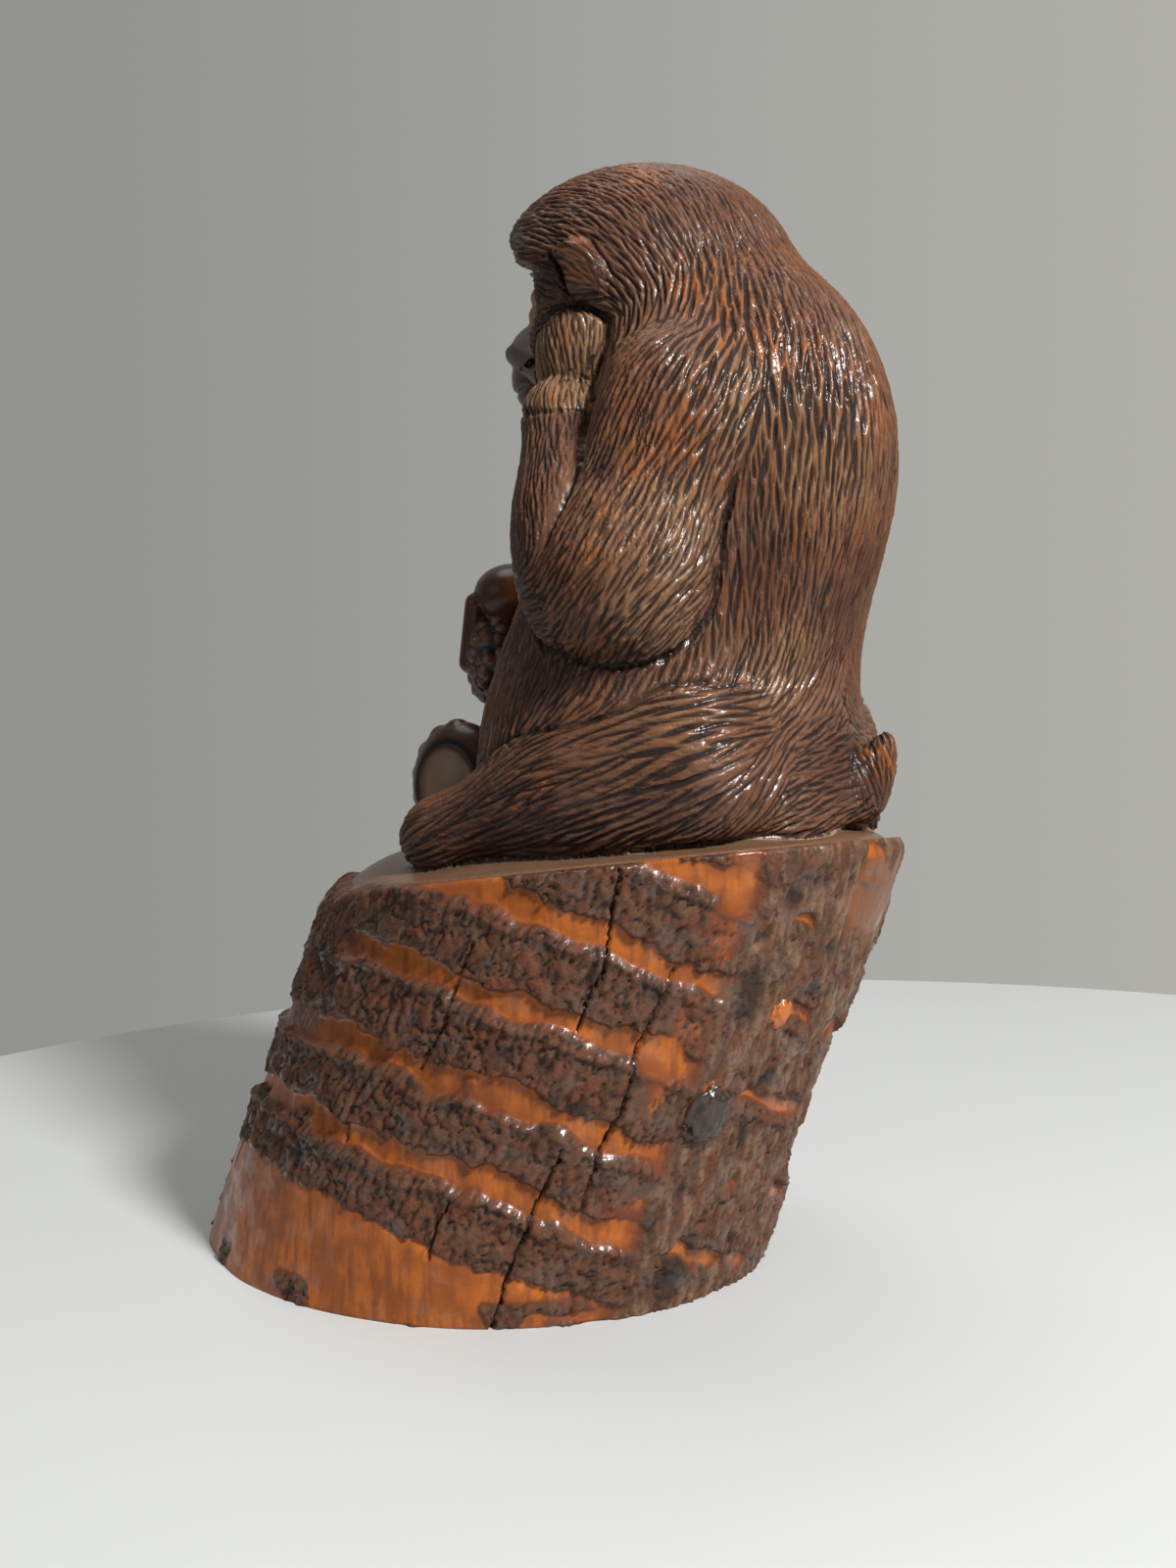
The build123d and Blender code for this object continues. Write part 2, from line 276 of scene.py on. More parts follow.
class StageSizes(bpy.types.PropertyGroup):
    """Camera, floor and lights"""

    azimuth: FloatProperty(
        name="Azimuth", description="Turn of the camera", default=math.radians(118), subtype="ANGLE"
    )
    elevation: FloatProperty(
        name="Elevation", description="Height angle of the camera", default=math.radians(5.5), subtype="ANGLE"
    )
    distance: FloatProperty(name="Distance", description="Camera to aim", default=385 * mm, unit="LENGTH")
    aim: FloatVectorProperty(
        name="Aim", description="Point in the middle of the picture", default=(0, 24 * mm, 98 * mm),
        subtype="TRANSLATION",
    )
    picture: FloatVectorProperty(
        name="Picture", description="Width, height and focal length in pixels", default=(1200, 1600, 1900)
    )
    floor_radius: FloatProperty(
        name="Floor radius", description="Round floor", default=328 * mm, unit="LENGTH"
    )
    floor_centre: FloatVectorProperty(
        name="Floor centre", description="Middle of the round floor", default=(7.5 * mm, 111 * mm, 0),
        subtype="TRANSLATION",
    )
    floor_colour: FloatVectorProperty(
        name="Floor colour", description="Pale floor", default=(0.53, 0.54, 0.53), subtype="COLOR"
    )
    wall_colour: FloatVectorProperty(
        name="Surroundings", description="Grey light from all sides", default=(0.15, 0.15, 0.15),
        subtype="COLOR",
    )
    # The wall glows between these two ends, darker at the left and lighter at the right: painted light
    wall_dark: FloatVectorProperty(
        name="Wall at the left", description="Darker end of the wall", default=(0.285, 0.285, 0.275),
        subtype="COLOR",
    )
    wall_light: FloatVectorProperty(
        name="Wall at the right", description="Lighter end of the wall", default=(0.44, 0.435, 0.41),
        subtype="COLOR",
    )
    wall_distance: FloatProperty(
        name="Wall distance", description="From the origin to the wall", default=900 * mm, unit="LENGTH"
    )
    wall_half: FloatProperty(
        name="Wall half width", description="Half the wall's width and height", default=2000 * mm,
        unit="LENGTH",
    )


# Shared helpers

def smooth_step(low, high, value):
    """Rises from 0 at low to 1 at high along an even curve."""
    part = np.clip((value - low) / (high - low), 0.0, 1.0)
    return part * part * (3 - 2 * part)


def unit(vectors):
    """Rows scaled to length 1."""
    return vectors / np.maximum(np.linalg.norm(vectors, axis=-1, keepdims=True), 1e-12)


def dot(first, second):
    """Products of matching rows."""
    return np.sum(first * second, axis=-1)


def node_centre(name):
    """Middle of a node's box."""
    low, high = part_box(name)
    return np.array((low + high) / 2)


def noise_at(points, size, octaves=1):
    """Soft noise between about -1 and 1 whose blobs have the given size."""
    if octaves == 1:
        return np.fromiter((noise.noise(p) for p in (points / size).tolist()), float, len(points))
    return np.fromiter(
        (noise.fractal(p, 1.0, 2.0, octaves) for p in (points / size).tolist()), float, len(points)
    )


def cells_at(points, size):
    """Distances to the nearest and second nearest cell centre, in cells of the given size."""
    found = [noise.voronoi(p)[0][:2] for p in (points / size).tolist()]
    return np.array(found)


def places_of(mesh):
    """Vertex places of a mesh as rows."""
    flat = np.empty(3 * len(mesh.vertices), np.float32)
    mesh.vertices.foreach_get("co", flat)
    return flat.reshape(-1, 3).astype(float)


def normals_of(mesh):
    """Vertex normals of a mesh as rows."""
    flat = np.empty(3 * len(mesh.vertices), np.float32)
    mesh.vertex_normals.foreach_get("vector", flat)
    return flat.reshape(-1, 3).astype(float)


def move_to(mesh, places):
    """Sets a mesh's vertex places."""
    mesh.vertices.foreach_set("co", places.astype(np.float32).ravel())
    mesh.update()


def set_attribute(mesh, name, values):
    """Adds a number for each vertex, for the finishes to read."""
    layer = mesh.attributes.new(name, "FLOAT", "POINT")
    layer.data.foreach_set("value", values.astype(np.float32))


class Links:
    """Neighbours of a mesh's vertices."""

    def __init__(self, mesh):
        ends = np.empty(2 * len(mesh.edges), np.int32)
        mesh.edges.foreach_get("vertices", ends)
        self.first = np.concatenate([ends[0::2], ends[1::2]])
        self.second = np.concatenate([ends[1::2], ends[0::2]])
        self.size = len(mesh.vertices)
        self.count = np.maximum(np.bincount(self.first, minlength=self.size), 1)

    def mean(self, values):
        """Average of each vertex's neighbours."""
        if values.ndim == 1:
            return np.bincount(self.first, values[self.second], self.size) / self.count
        columns = [np.bincount(self.first, column[self.second], self.size) for column in values.T]
        return np.stack(columns, 1) / self.count[:, None]

    def smoothed(self, values, steps, weight=0.5):
        """Values drawn towards their neighbours' average, step by step."""
        for _ in range(steps):
            values = values + weight * (self.mean(values) - values)
        return values


def merged_copy(name):
    """A copy of a node's mesh with its loose triangles merged."""
    single = bmesh.new()
    single.from_mesh(frame["nodes"][name].data)
    bmesh.ops.remove_doubles(single, verts=single.verts, dist=0.001 * mm)
    mesh = bpy.data.meshes.new(name)
    single.to_mesh(mesh)
    single.free()
    return mesh


def joined(meshes):
    """One mesh of several, which are used up."""
    whole = bmesh.new()
    for mesh in meshes:
        whole.from_mesh(mesh)
        bpy.data.meshes.remove(mesh)
    result = bpy.data.meshes.new("joined")
    whole.to_mesh(result)
    whole.free()
    return result


def remeshed(mesh, voxel):
    """The same solid as an even grid of quads."""
    piece = bpy.data.objects.new("remesh", mesh)
    bpy.context.scene.collection.objects.link(piece)
    modifier = piece.modifiers.new("Grid", "REMESH")
    modifier.mode = "VOXEL"
    modifier.voxel_size = voxel
    modifier.use_smooth_shade = True
    depsgraph = bpy.context.evaluated_depsgraph_get()
    result = bpy.data.meshes.new_from_object(piece.evaluated_get(depsgraph))
    bpy.data.objects.remove(piece)
    bpy.data.meshes.remove(mesh)
    return result


def triangle_tree(meshes):
    """Search tree over the triangles of meshes, which are used up, and each triangle's place in the list."""
    corners, triangles, owners = [], [], []
    for index, mesh in enumerate(meshes):
        mesh.calc_loop_triangles()
        start = len(corners)
        corners.extend(vertex.co.copy() for vertex in mesh.vertices)
        for triangle in mesh.loop_triangles:
            triangles.append([start + corner for corner in triangle.vertices])
            owners.append(index)
        bpy.data.meshes.remove(mesh)
    return BVHTree.FromPolygons(corners, triangles), np.array(owners)


def distances(tree, places):
    """Distance from each place to the nearest triangle of a search tree."""
    return np.array([tree.find_nearest(place)[3] for place in places.tolist()])


def new_piece(name, mesh, slot, finish, *nodes):
    """Puts a finished piece in the scene in place of its nodes."""
    piece = bpy.data.objects.new(name, mesh)
    bpy.context.scene.collection.objects.link(piece)
    mesh.materials.clear()
    mesh.materials.append(finish)
    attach(piece, "root")
    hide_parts(*nodes)
    return piece


def camera_axes(stage):
    """Camera place and its right, up and forward directions."""
    level = math.cos(stage.elevation)
    back = np.array((
        level * math.sin(stage.azimuth), -level * math.cos(stage.azimuth), math.sin(stage.elevation)
    ))
    place = np.array(stage.aim) + stage.distance * back
    right = unit(np.cross((0, 0, 1), back))
    return place, right, np.cross(back, right), -back


def pixel_ray(stage, column, row):
    """Camera place and direction through a pixel of the photograph."""
    place, right, up, forward = camera_axes(stage)
    width, height, focal = stage.picture
    direction = forward * focal + right * (column - width / 2) - up * (row - height / 2)
    return Vector(place), Vector(unit(direction))


# Finishes

class Value:
    """A number socket that Python sums and products can use."""

    def __init__(self, finish, socket):
        self.finish = finish
        self.socket = socket

    def combine(self, operation, first, second):
        return self.finish.node("ShaderNodeMath", {"operation": operation}, {0: first, 1: second})

    def __add__(self, other):
        return self.combine("ADD", self, other)

    def __radd__(self, other):
        return self.combine("ADD", other, self)

    def __sub__(self, other):
        return self.combine("SUBTRACT", self, other)

    def __rsub__(self, other):
        return self.combine("SUBTRACT", other, self)

    def __mul__(self, other):
        return self.combine("MULTIPLY", self, other)

    def __rmul__(self, other):
        return self.combine("MULTIPLY", other, self)

    def __pow__(self, other):
        return self.combine("POWER", self, other)


class Finish:
    """One procedural finish: a material, its nodes and the maths between them."""

    def __init__(self, name):
        self.material = bpy.data.materials.new(name)
        self.material.use_nodes = True
        self.tree = self.material.node_tree
        self.tree.nodes.clear()
        self.places = self.node("ShaderNodeTexCoord", output="Object")

    def node(self, kind, settings=None, sockets=None, output=0):
        """Adds a node, sets it up, links or fills its sockets and gives one output."""
        made = self.tree.nodes.new(kind)
        for key, value in (settings or {}).items():
            if key == "stops":
                self.set_stops(made.color_ramp, value)
            else:
                setattr(made, key, value)
        for key, value in (sockets or {}).items():
            if isinstance(value, Value):
                self.tree.links.new(value.socket, made.inputs[key])
            else:
                made.inputs[key].default_value = value
        return Value(self, made.outputs[output]) if len(made.outputs) else made

    def set_stops(self, ramp, stops):
        """Fills a colour ramp."""
        while len(ramp.elements) < len(stops):
            ramp.elements.new(0.5)
        for element, (position, shade) in zip(ramp.elements, stops):
            element.position = position
            element.color = (shade, shade, shade, 1)

    def attribute(self, name):
        """A number that each vertex carries."""
        return self.node("ShaderNodeAttribute", {"attribute_name": name}, output="Fac")

    def speckle(self, size, detail=4.0, stretch=None):
        """Noise between 0 and 1 with grains of the given size, drawn out by stretch along X, Y and Z."""
        places = self.places
        if stretch:
            places = self.node("ShaderNodeMapping", None, {"Vector": places, "Scale": stretch})
        return self.node("ShaderNodeTexNoise", None, {"Vector": places, "Scale": 1 / size, "Detail": detail})

    def cells(self, size, feature="F1", output="Distance"):
        """Distance pattern of cells of the given size."""
        return self.node(
            "ShaderNodeTexVoronoi", {"feature": feature}, {"Vector": self.places, "Scale": 1 / size}, output
        )

    def between(self, value, low, high):
        """Value mapped so that low gives 0 and high gives 1, with no overshoot."""
        return self.node(
            "ShaderNodeMapRange", {"interpolation_type": "SMOOTHSTEP"},
            {"Value": value, "From Min": low, "From Max": high},
        )

    def mix(self, part, first, second):
        """Colour that goes from first to second."""
        colours = [self.colour(shade) for shade in (first, second)]
        return self.node(
            "ShaderNodeMix", {"data_type": "RGBA"}, {0: part, 6: colours[0], 7: colours[1]}, 2
        )

    def colour(self, shade):
        """A colour socket as it is, or a colour property with its opacity."""
        return shade if isinstance(shade, Value) else (*shade, 1)

    def bump(self, height, strength, distance, under=None):
        """Small relief."""
        sockets = {"Strength": strength, "Distance": distance, "Height": height}
        if under:
            sockets["Normal"] = under
        return self.node("ShaderNodeBump", None, sockets)

    def close(self, colour, roughness, normal, constants=None):
        """Ends the finish in its shader."""
        sockets = {"Base Color": colour, "Roughness": roughness, "Normal": normal}
        sockets.update(constants or {})
        shader = self.node("ShaderNodeBsdfPrincipled", None, sockets)
        self.node("ShaderNodeOutputMaterial", None, {"Surface": shader})
        return self.material


varnish = {"Coat Weight": 0.22, "Coat Roughness": 0.16, "Specular IOR Level": 0.2}


def fur_finish(colours):
    """Stroke-cut fur: painted shade in the stroke hollows and creases, stained ridges with pale and deep
    patches that are partly painted light and shade, and glossy high places worn to orange, partly painted
    highlight.
    """
    finish = Finish("fur_wood")
    cut = finish.attribute("cut")
    streak = finish.attribute("streak")
    tone = finish.attribute("tone")
    drift = finish.between(finish.speckle(17 * mm, 3), 0.36, 0.64)
    fleck = finish.speckle(0.8 * mm, 5)
    stain = finish.mix(drift, colours.fur_brown, colours.fur_grey)
    # Pale and deep patches from the tone: stain, and painted light and shade at the pale and deep spots
    stain = finish.mix(finish.between(tone + 0.12 * streak, 0.5, 1.05), stain, colours.fur_pale)
    stain = finish.mix(0.8 * finish.between(tone + 0.1 * streak, 0.5, 0.0), stain, colours.fur_deep)
    # Worn orange on the high places, partly painted highlight
    wear_and_highlight = finish.attribute("worn") + 0.3 * fleck + 0.12 * streak - 0.3 * cut
    rubbed_and_highlight = finish.between(wear_and_highlight, 0.3, 1.2)
    stain = finish.mix(0.7 * rubbed_and_highlight, stain, colours.fur_worn_and_highlight)
    stain = finish.mix(0.6 * finish.between(streak, 0.2, -2.2), stain, colours.fur_deep)
    # Painted shade in the stroke grooves, as deep as they are cut
    hollow = finish.between(cut + 0.3 * fleck - 0.15, 0.3, 0.9)
    colour = finish.mix(0.92 * hollow, stain, colours.dark_stain_and_shade)
    # Painted shade in the creases between members
    colour = finish.mix(0.85 * finish.attribute("grime"), colour, colours.dark_stain_and_shade)
    roughness = 0.3 + 0.35 * cut + 0.16 * fleck
    relief = finish.bump(fleck + 0.3 * streak, 0.3, 0.25 * mm)
    return finish.close(colour, roughness, relief, varnish)


def bare_finish(colours):
    """Smooth stained wood of face, ears, hands and feet, with painted shade in cuts and creases, and pale,
    deep and orange patches that are partly painted light, shade and highlight.
    """
    finish = Finish("bare_wood")
    tone = finish.attribute("tone")
    grain = finish.speckle(1.6 * mm, 5, (1, 1, 0.25))
    drift = finish.between(finish.speckle(9 * mm, 3), 0.35, 0.7)
    colour = finish.mix(0.6 * drift, colours.bare, colours.fur_brown)
    # Pale and deep patches from the tone: stain, and painted light and shade at the pale and deep spots
    colour = finish.mix(finish.between(tone + 0.2 * grain, 0.58, 1.1), colour, colours.bare_pale)
    colour = finish.mix(0.8 * finish.between(tone, 0.5, 0.0), colour, colours.fur_deep)
    # Worn orange, partly painted highlight
    rubbed_and_highlight = finish.between(finish.attribute("worn") + 0.3 * grain, 0.4, 0.95)
    colour = finish.mix(rubbed_and_highlight, colour, colours.fur_worn_and_highlight)
    # Painted shade in the stroke grooves
    colour = finish.mix(0.8 * finish.attribute("cut"), colour, colours.dark_stain_and_shade)
    # Painted shade in the creases, broken up by the grain
    crease_shade = finish.between(finish.attribute("grime") + 0.2 * grain, 0.2, 0.95)
    colour = finish.mix(crease_shade, colour, colours.dark_stain_and_shade)
    relief = finish.bump(grain, 0.15, 0.2 * mm)
    return finish.close(colour, 0.26 + 0.2 * grain, relief, varnish)


def eye_finish(colours):
    """Polished dark eyes."""
    finish = Finish("eye_wood")
    grain = finish.speckle(1.5 * mm, 3)
    colour = finish.mix(grain, colours.dark_stain_and_shade, colours.bare)
    relief = finish.bump(grain, 0.05, 0.1 * mm)
    return finish.close(colour, 0.14 + 0.1 * grain, relief, {"Coat Weight": 0.5})


def fruit_finish(colours):
    """Bumpy varnished fruit with painted shade in the seams between its bumps."""
    finish = Finish("fruit_wood")
    grime = finish.attribute("grime")
    fleck = finish.speckle(1.2 * mm, 4)
    colour = finish.mix(fleck, colours.fur_brown, colours.culm_dark)
    # Painted shade in the seams
    colour = finish.mix(finish.between(grime, 0.1, 0.8), colour, colours.dark_stain_and_shade)
    relief = finish.bump(fleck, 0.2, 0.2 * mm)
    return finish.close(colour, 0.25 + 0.25 * fleck, relief, {"Coat Weight": 0.25})


def ledge_finish(colours):
    """Smooth ledge with fine pores and grain, a pale band round its creases and painted shade in them."""
    finish = Finish("ledge_wood")
    grime = finish.attribute("grime")
    grain = finish.speckle(1.2 * mm, 5, (1, 0.3, 1))
    pores = finish.between(finish.cells(0.9 * mm), 0.12, 0.3)
    drift = finish.between(finish.speckle(14 * mm, 3), 0.35, 0.65)
    colour = finish.mix(0.5 * drift, colours.ledge, colours.fur_brown)
    colour = finish.mix(0.3 * grain, colour, colours.fur_grey)
    colour = finish.mix(0.55 * (1 - pores), colour, colours.bark_dark)
    # A pale band round the creases of the ledge, then painted shade in them
    colour = finish.mix(finish.between(grime, 0.05, 0.35), colour, colours.bare_pale)
    colour = finish.mix(finish.between(grime, 0.35, 0.8), colour, colours.dark_stain_and_shade)
    relief = finish.bump(pores, 0.25, 0.2 * mm)
    return finish.close(colour, 0.34 + 0.2 * grain, relief, varnish)


def stump_finish(colours):
    """Bark in bands between polished orange grooves, with black cracks and pits that are painted shade."""
    finish = Finish("stump_bark")
    bark = finish.attribute("bark")
    fleck = finish.speckle(0.8 * mm, 6)
    streak = finish.speckle(1.8 * mm, 5, (1, 1, 0.16))
    drift = finish.between(finish.speckle(7 * mm, 4), 0.38, 0.64)
    gloss = finish.between(finish.speckle(6 * mm, 3), 0.5, 0.62)
    polished = finish.mix(finish.between(streak, 0.42, 0.7), colours.culm, colours.culm_brown)
    polished = finish.mix(0.85 * drift, polished, colours.culm_brown)
    polished = finish.mix(0.75 * finish.attribute("red"), polished, colours.culm_dark)
    polished = finish.mix(finish.between(bark + 0.35 * fleck, 0.12, 0.5), polished, colours.culm_dark)
    thin = finish.between(finish.speckle(4 * mm, 5), 0.46, 0.6)
    crust = finish.mix(drift, colours.bark, colours.bark_warm)
    crust = finish.mix(0.6 * thin, crust, colours.culm_dark)
    crust = finish.mix(finish.attribute("side") * finish.between(streak, 0.4, 0.66), crust, colours.bark_grey)
    crust = finish.mix(0.6 * finish.between(fleck, 0.56, 0.78), crust, colours.bark_dark)
    # Painted shade in the pits of the bark
    crust = finish.mix(0.9 * finish.attribute("pit"), crust, colours.bark_dark)
    colour = finish.mix(finish.between(bark + 0.3 * fleck - 0.15, 0.3, 0.7), polished, crust)
    facet = finish.mix(streak, colours.facet, colours.bark_warm)
    colour = finish.mix(0.85 * finish.attribute("facet"), colour, facet)
    hollow = finish.mix(streak, colours.hollow, colours.facet)
    colour = finish.mix(0.9 * finish.attribute("dull"), colour, hollow)
    # Painted shade in the cracks
    colour = finish.mix(finish.between(finish.attribute("crack"), 0.25, 0.7), colour, colours.bark_dark)
    roughness = 0.3 + (0.25 - 0.3 * gloss) * bark + 0.16 * fleck
    relief = finish.bump(fleck * (0.2 + 0.8 * bark), 0.55, 0.5 * mm)
    return finish.close(colour, roughness, relief, {**varnish, "Coat Weight": 0.14 + 0.5 * gloss})


def scar_finish(colours):
    """Glossy dark scar with a warm rim."""
    finish = Finish("root_scar")
    warm = finish.attribute("warm")
    fleck = finish.speckle(1.3 * mm, 5)
    colour = finish.mix(0.4 * fleck, colours.bark_dark, colours.bark)
    colour = finish.mix(finish.between(warm + 0.3 * fleck, 0.4, 0.9), colour, colours.culm)
    relief = finish.bump(fleck, 0.5, 0.5 * mm)
    return finish.close(colour, 0.2 + 0.25 * fleck, relief, {"Coat Weight": 0.3})


def wall_finish(stage):
    """Plain wall behind the floor that glows, brighter to the right as painted light."""
    finish = Finish("plain_wall")
    _, right, _, _ = camera_axes(stage)
    across = finish.node(
        "ShaderNodeVectorMath", {"operation": "DOT_PRODUCT"}, {0: finish.places, 1: right}, "Value"
    )
    shade = finish.between(across, -0.45, 0.55)
    colour = finish.mix(shade, stage.wall_dark, stage.wall_light)
    shader = finish.node(
        "ShaderNodeBsdfPrincipled", None,
        {
            "Base Color": (0, 0, 0, 1), "Specular IOR Level": 0.0,
            "Emission Color": colour, "Emission Strength": 1.0,
        },
    )
    finish.node("ShaderNodeOutputMaterial", None, {"Surface": shader})
    return finish.material


def floor_finish(stage):
    """Pale matt table top."""
    finish = Finish("pale_floor")
    soft = finish.speckle(120 * mm, 2)
    colour = finish.mix(0.08 * soft, stage.floor_colour, stage.wall_colour)
    return finish.close(colour, 0.55, finish.bump(soft, 0.02, 0.2 * mm))


# Figure

def ledge_blank(stump):
    """The ledge: a disc that rises from the rim's rounded border to the seat, closed underneath."""
    disc = bmesh.new()
    bmesh.ops.create_grid(disc, x_segments=240, y_segments=40, size=1)
    flat = np.array([vertex.co for vertex in disc.verts])
    turn = math.pi * flat[:, 0]
    share = (flat[:, 1] + 1) / 2
    edge = rim_round(stump, turn)
    axis, _ = stem_directions(stump)
    along = np.full(len(turn), stump.rim_height)
    for _ in range(8):
        full = radius_at(stump, along) - 1.7 * mm
        inset = full * (1 - share)
        part = np.clip(1 - inset / edge, 0, 1)
        places = on_stem(stump, turn, along, share * full)
        lift = stump.ledge_rise * smooth_step(0, 12 * mm, inset) + 0.4 * mm * (1 - 2 * part)
        level = rim_level(stump, places) + lift - edge * (1 - np.sqrt(1 - part * part))
        along += (level - places[:, 2]) / axis[2]
    for vertex, place in zip(disc.verts, on_stem(stump, turn, along, share * full)):
        vertex.co = place
    bmesh.ops.remove_doubles(disc, verts=disc.verts, dist=0.002 * mm)
    border = [edge for edge in disc.edges if edge.is_boundary]
    made = bmesh.ops.extrude_edge_only(disc, edges=border)["geom"]
    lower = [item for item in made if isinstance(item, bmesh.types.BMVert)]
    heart = Vector(axis * stump.rim_height)
    for vertex in lower:
        vertex.co = heart + 0.9 * (vertex.co - heart) - Vector(axis * 6 * mm)
    bmesh.ops.holes_fill(disc, edges=[edge for edge in disc.edges if edge.is_boundary], sides=0)
    bmesh.ops.recalc_face_normals(disc, faces=disc.faces)
    mesh = bpy.data.meshes.new("ledge")
    disc.to_mesh(mesh)
    disc.free()
    return mesh


def grown_copy(name, about, growth, shift):
    """A member grown about the middle of a node and shifted, in millimetres."""
    mesh = merged_copy(name)
    centre = node_centre(about)
    move_to(mesh, centre + (places_of(mesh) - centre) * growth + np.array(shift) * mm)
    return mesh


def torso_copy():
    """The body, filled out at both sides of the tail."""
    meshes = [merged_copy("torso")]
    for side in (1, -1):
        ball = bmesh.new()
        place = Matrix.Translation(Vector((side * rump_middle[0], *rump_middle[1:])) * mm)
        bmesh.ops.create_icosphere(ball, subdivisions=4, radius=1)
        growth = Matrix.Diagonal(Vector(rump_halves) * mm).to_4x4()
        bmesh.ops.transform(ball, matrix=place @ growth, verts=ball.verts)
        mesh = bpy.data.meshes.new("rump")
        ball.to_mesh(mesh)
        ball.free()
        meshes.append(mesh)
    return joined(meshes)


def thigh_copy(name):
    """A thigh, thinned towards its knee."""
    mesh = merged_copy(name)
    places = places_of(mesh)
    thin = 0.2 * smooth_step(30 * mm, 8 * mm, places[:, 1])
    places[:, 2] -= thin * np.maximum(places[:, 2] - 84 * mm, 0)
    move_to(mesh, places)
    return mesh


def hand_copy(stage):
    """The raised hand, narrowed across the picture and set back, so that its fingers stand clear of it."""
    mesh = merged_copy("left_hand")
    centre = node_centre("left_hand")
    _, right, _, _ = camera_axes(stage)
    offset = places_of(mesh) - centre
    across = offset @ right
    back = 3.0 * mm - 0.14 * across + 0.1 * offset[:, 2]
    offset[:, 2] = 1.14 * offset[:, 2] + 1.0 * mm
    move_to(mesh, centre + 1.04 * offset + back[:, None] * right)
    return mesh


def brow_cut(places):
    """Places set back under the brow, so that it ends in a corner over the face."""
    height = places[:, 2]
    under = smooth_step(201.2 * mm, 198.4 * mm, height) * smooth_step(186 * mm, 192 * mm, height)
    corner = np.exp(-((height - 203 * mm) / (2.6 * mm)) ** 2)
    front = smooth_step(33 * mm, 13 * mm, places[:, 1])
    return places + (mm * (4.6 * under - 0.9 * corner) * front)[:, None] * np.array((0, 1, 0))


def member_copies(names, stump):
    """Copies of the named members, some of them filled out or thinned here."""
    shaped = {
        "seat_plinth": lambda: ledge_blank(stump),
        "torso": torso_copy,
        "left_thigh": lambda: thigh_copy("left_thigh"),
        "right_thigh": lambda: thigh_copy("right_thigh"),
        "left_hand": lambda: hand_copy(bpy.context.scene.carving_stage),
        "left_fingers": lambda: grown_copy("left_fingers", "left_fingers", 1.12, (1.0, 1.2, -1.2)),
        "right_foot": lambda: grown_copy("right_foot", "right_foot", 1.12, (0.6, -0.8, 1.2)),
        "right_toes": lambda: grown_copy("right_toes", "right_foot", 1.03, (0.6, -0.8, 1.2)),
        "tail": lambda: grown_copy("tail", "tail", 1.0, (0, 2.0, 0)),
    }
    return [shaped[name]() if name in shaped else merged_copy(name) for name in names]


def skin_blank(sizes, stump):
    """Members fused into one skin: flowing where the wood flows, crisp at the crisp members."""
    core = remeshed(joined(member_copies(flowing_members, stump)), sizes.blend_voxel)
    places = places_of(core)
    clear = distances(triangle_tree(member_copies(crisp_members, stump))[0], places)
    arms = distances(triangle_tree(member_copies(("left_forearm", "right_forearm"), stump))[0], places)
    elbow = smooth_step(146 * mm, 134 * mm, places[:, 2])
    low_arm = smooth_step(158 * mm, 138 * mm, places[:, 2])
    low_arm *= smooth_step(18 * mm, 26 * mm, np.abs(places[:, 0]))
    weight = 0.65 * np.clip(clear / sizes.blend_reach, 0, 1) * (1 - 0.75 * low_arm)
    weight *= np.maximum(np.clip(arms / sizes.blend_reach, 0.06, 1), elbow)
    rump = smooth_step(90 * mm, 96 * mm, places[:, 2]) * smooth_step(50 * mm, 60 * mm, places[:, 1])
    weight = np.maximum(weight, 0.65 * rump * smooth_step(126 * mm, 118 * mm, places[:, 2]))
    links = Links(core)
    for _ in range(sizes.blend_steps):
        places += weight[:, None] * (links.mean(places) - places)
    move_to(core, places)
    places += np.clip(clear / sizes.blend_reach, 0, 1)[:, None] * sizes.swell * normals_of(core)
    move_to(core, places)
    return remeshed(joined([core] + member_copies(crisp_members, stump)), sizes.skin_voxel)


class Skin:
    """The fused skin with what the carving needs to know of each vertex."""

    def __init__(self, sizes, stump, stage):
        self.mesh = skin_blank(sizes, stump)
        self.links = Links(self.mesh)
        self.stage = stage
        self.move(self.links.smoothed(places_of(self.mesh), 4))
        tree, owners = triangle_tree(member_copies(blank_members, stump))
        nearest = owners[np.array([tree.find_nearest(place)[2] for place in self.places.tolist()])]
        wrist = nearest == members.index("left_forearm")
        nearest[wrist & (self.places[:, 2] > wrist_height)] = members.index("left_hand")
        count = len(self.places)
        self.member = nearest.copy()
        best = np.zeros(count)
        for index in range(len(blank_members)):
            share = self.links.smoothed((nearest == index) * 1.0, 8)
            self.member[share > best] = index
            best = np.maximum(best, share)
        self.looks = {name: np.zeros(count) for name in ("cut", "worn", "grime", "streak")}
        self.looks["tone"] = np.full(count, 0.5)
        self.move(brow_cut(self.places))
        self.bald = np.zeros(count)
        holder = bpy.data.objects.new("holder", self.mesh)
        bpy.context.scene.collection.objects.link(holder)
        self.tree = BVHTree.FromObject(holder, bpy.context.evaluated_depsgraph_get())
        bpy.data.objects.remove(holder)

    def move(self, places):
        """Sets the places and works out the normals again."""
        self.places = places
        move_to(self.mesh, places)
        self.normals = normals_of(self.mesh)

    def push(self, height):
        """Moves each vertex out along its normal."""
        self.move(self.places + height[:, None] * self.normals)

    def on(self, *names):
        """Whether each vertex lies on one of the named members."""
        return np.isin(self.member, [members.index(name) for name in names])

    def raise_look(self, name, values):
        """Raises a look to the given values where they are higher."""
        self.looks[name] = np.maximum(self.looks[name], values)

    def marks(self, spots):
        """How near each vertex is to the nearest spot of the photograph, from 0 to 1."""
        near = np.zeros(len(self.places))
        for column, row, reach in spots:
            hit = self.tree.ray_cast(*pixel_ray(self.stage, column, row))[0]
            if hit is not None:
                away = np.linalg.norm(self.places - np.array(hit), axis=1)
                near = np.maximum(near, np.exp(-(away / (reach * mm)) ** 2))
        return near


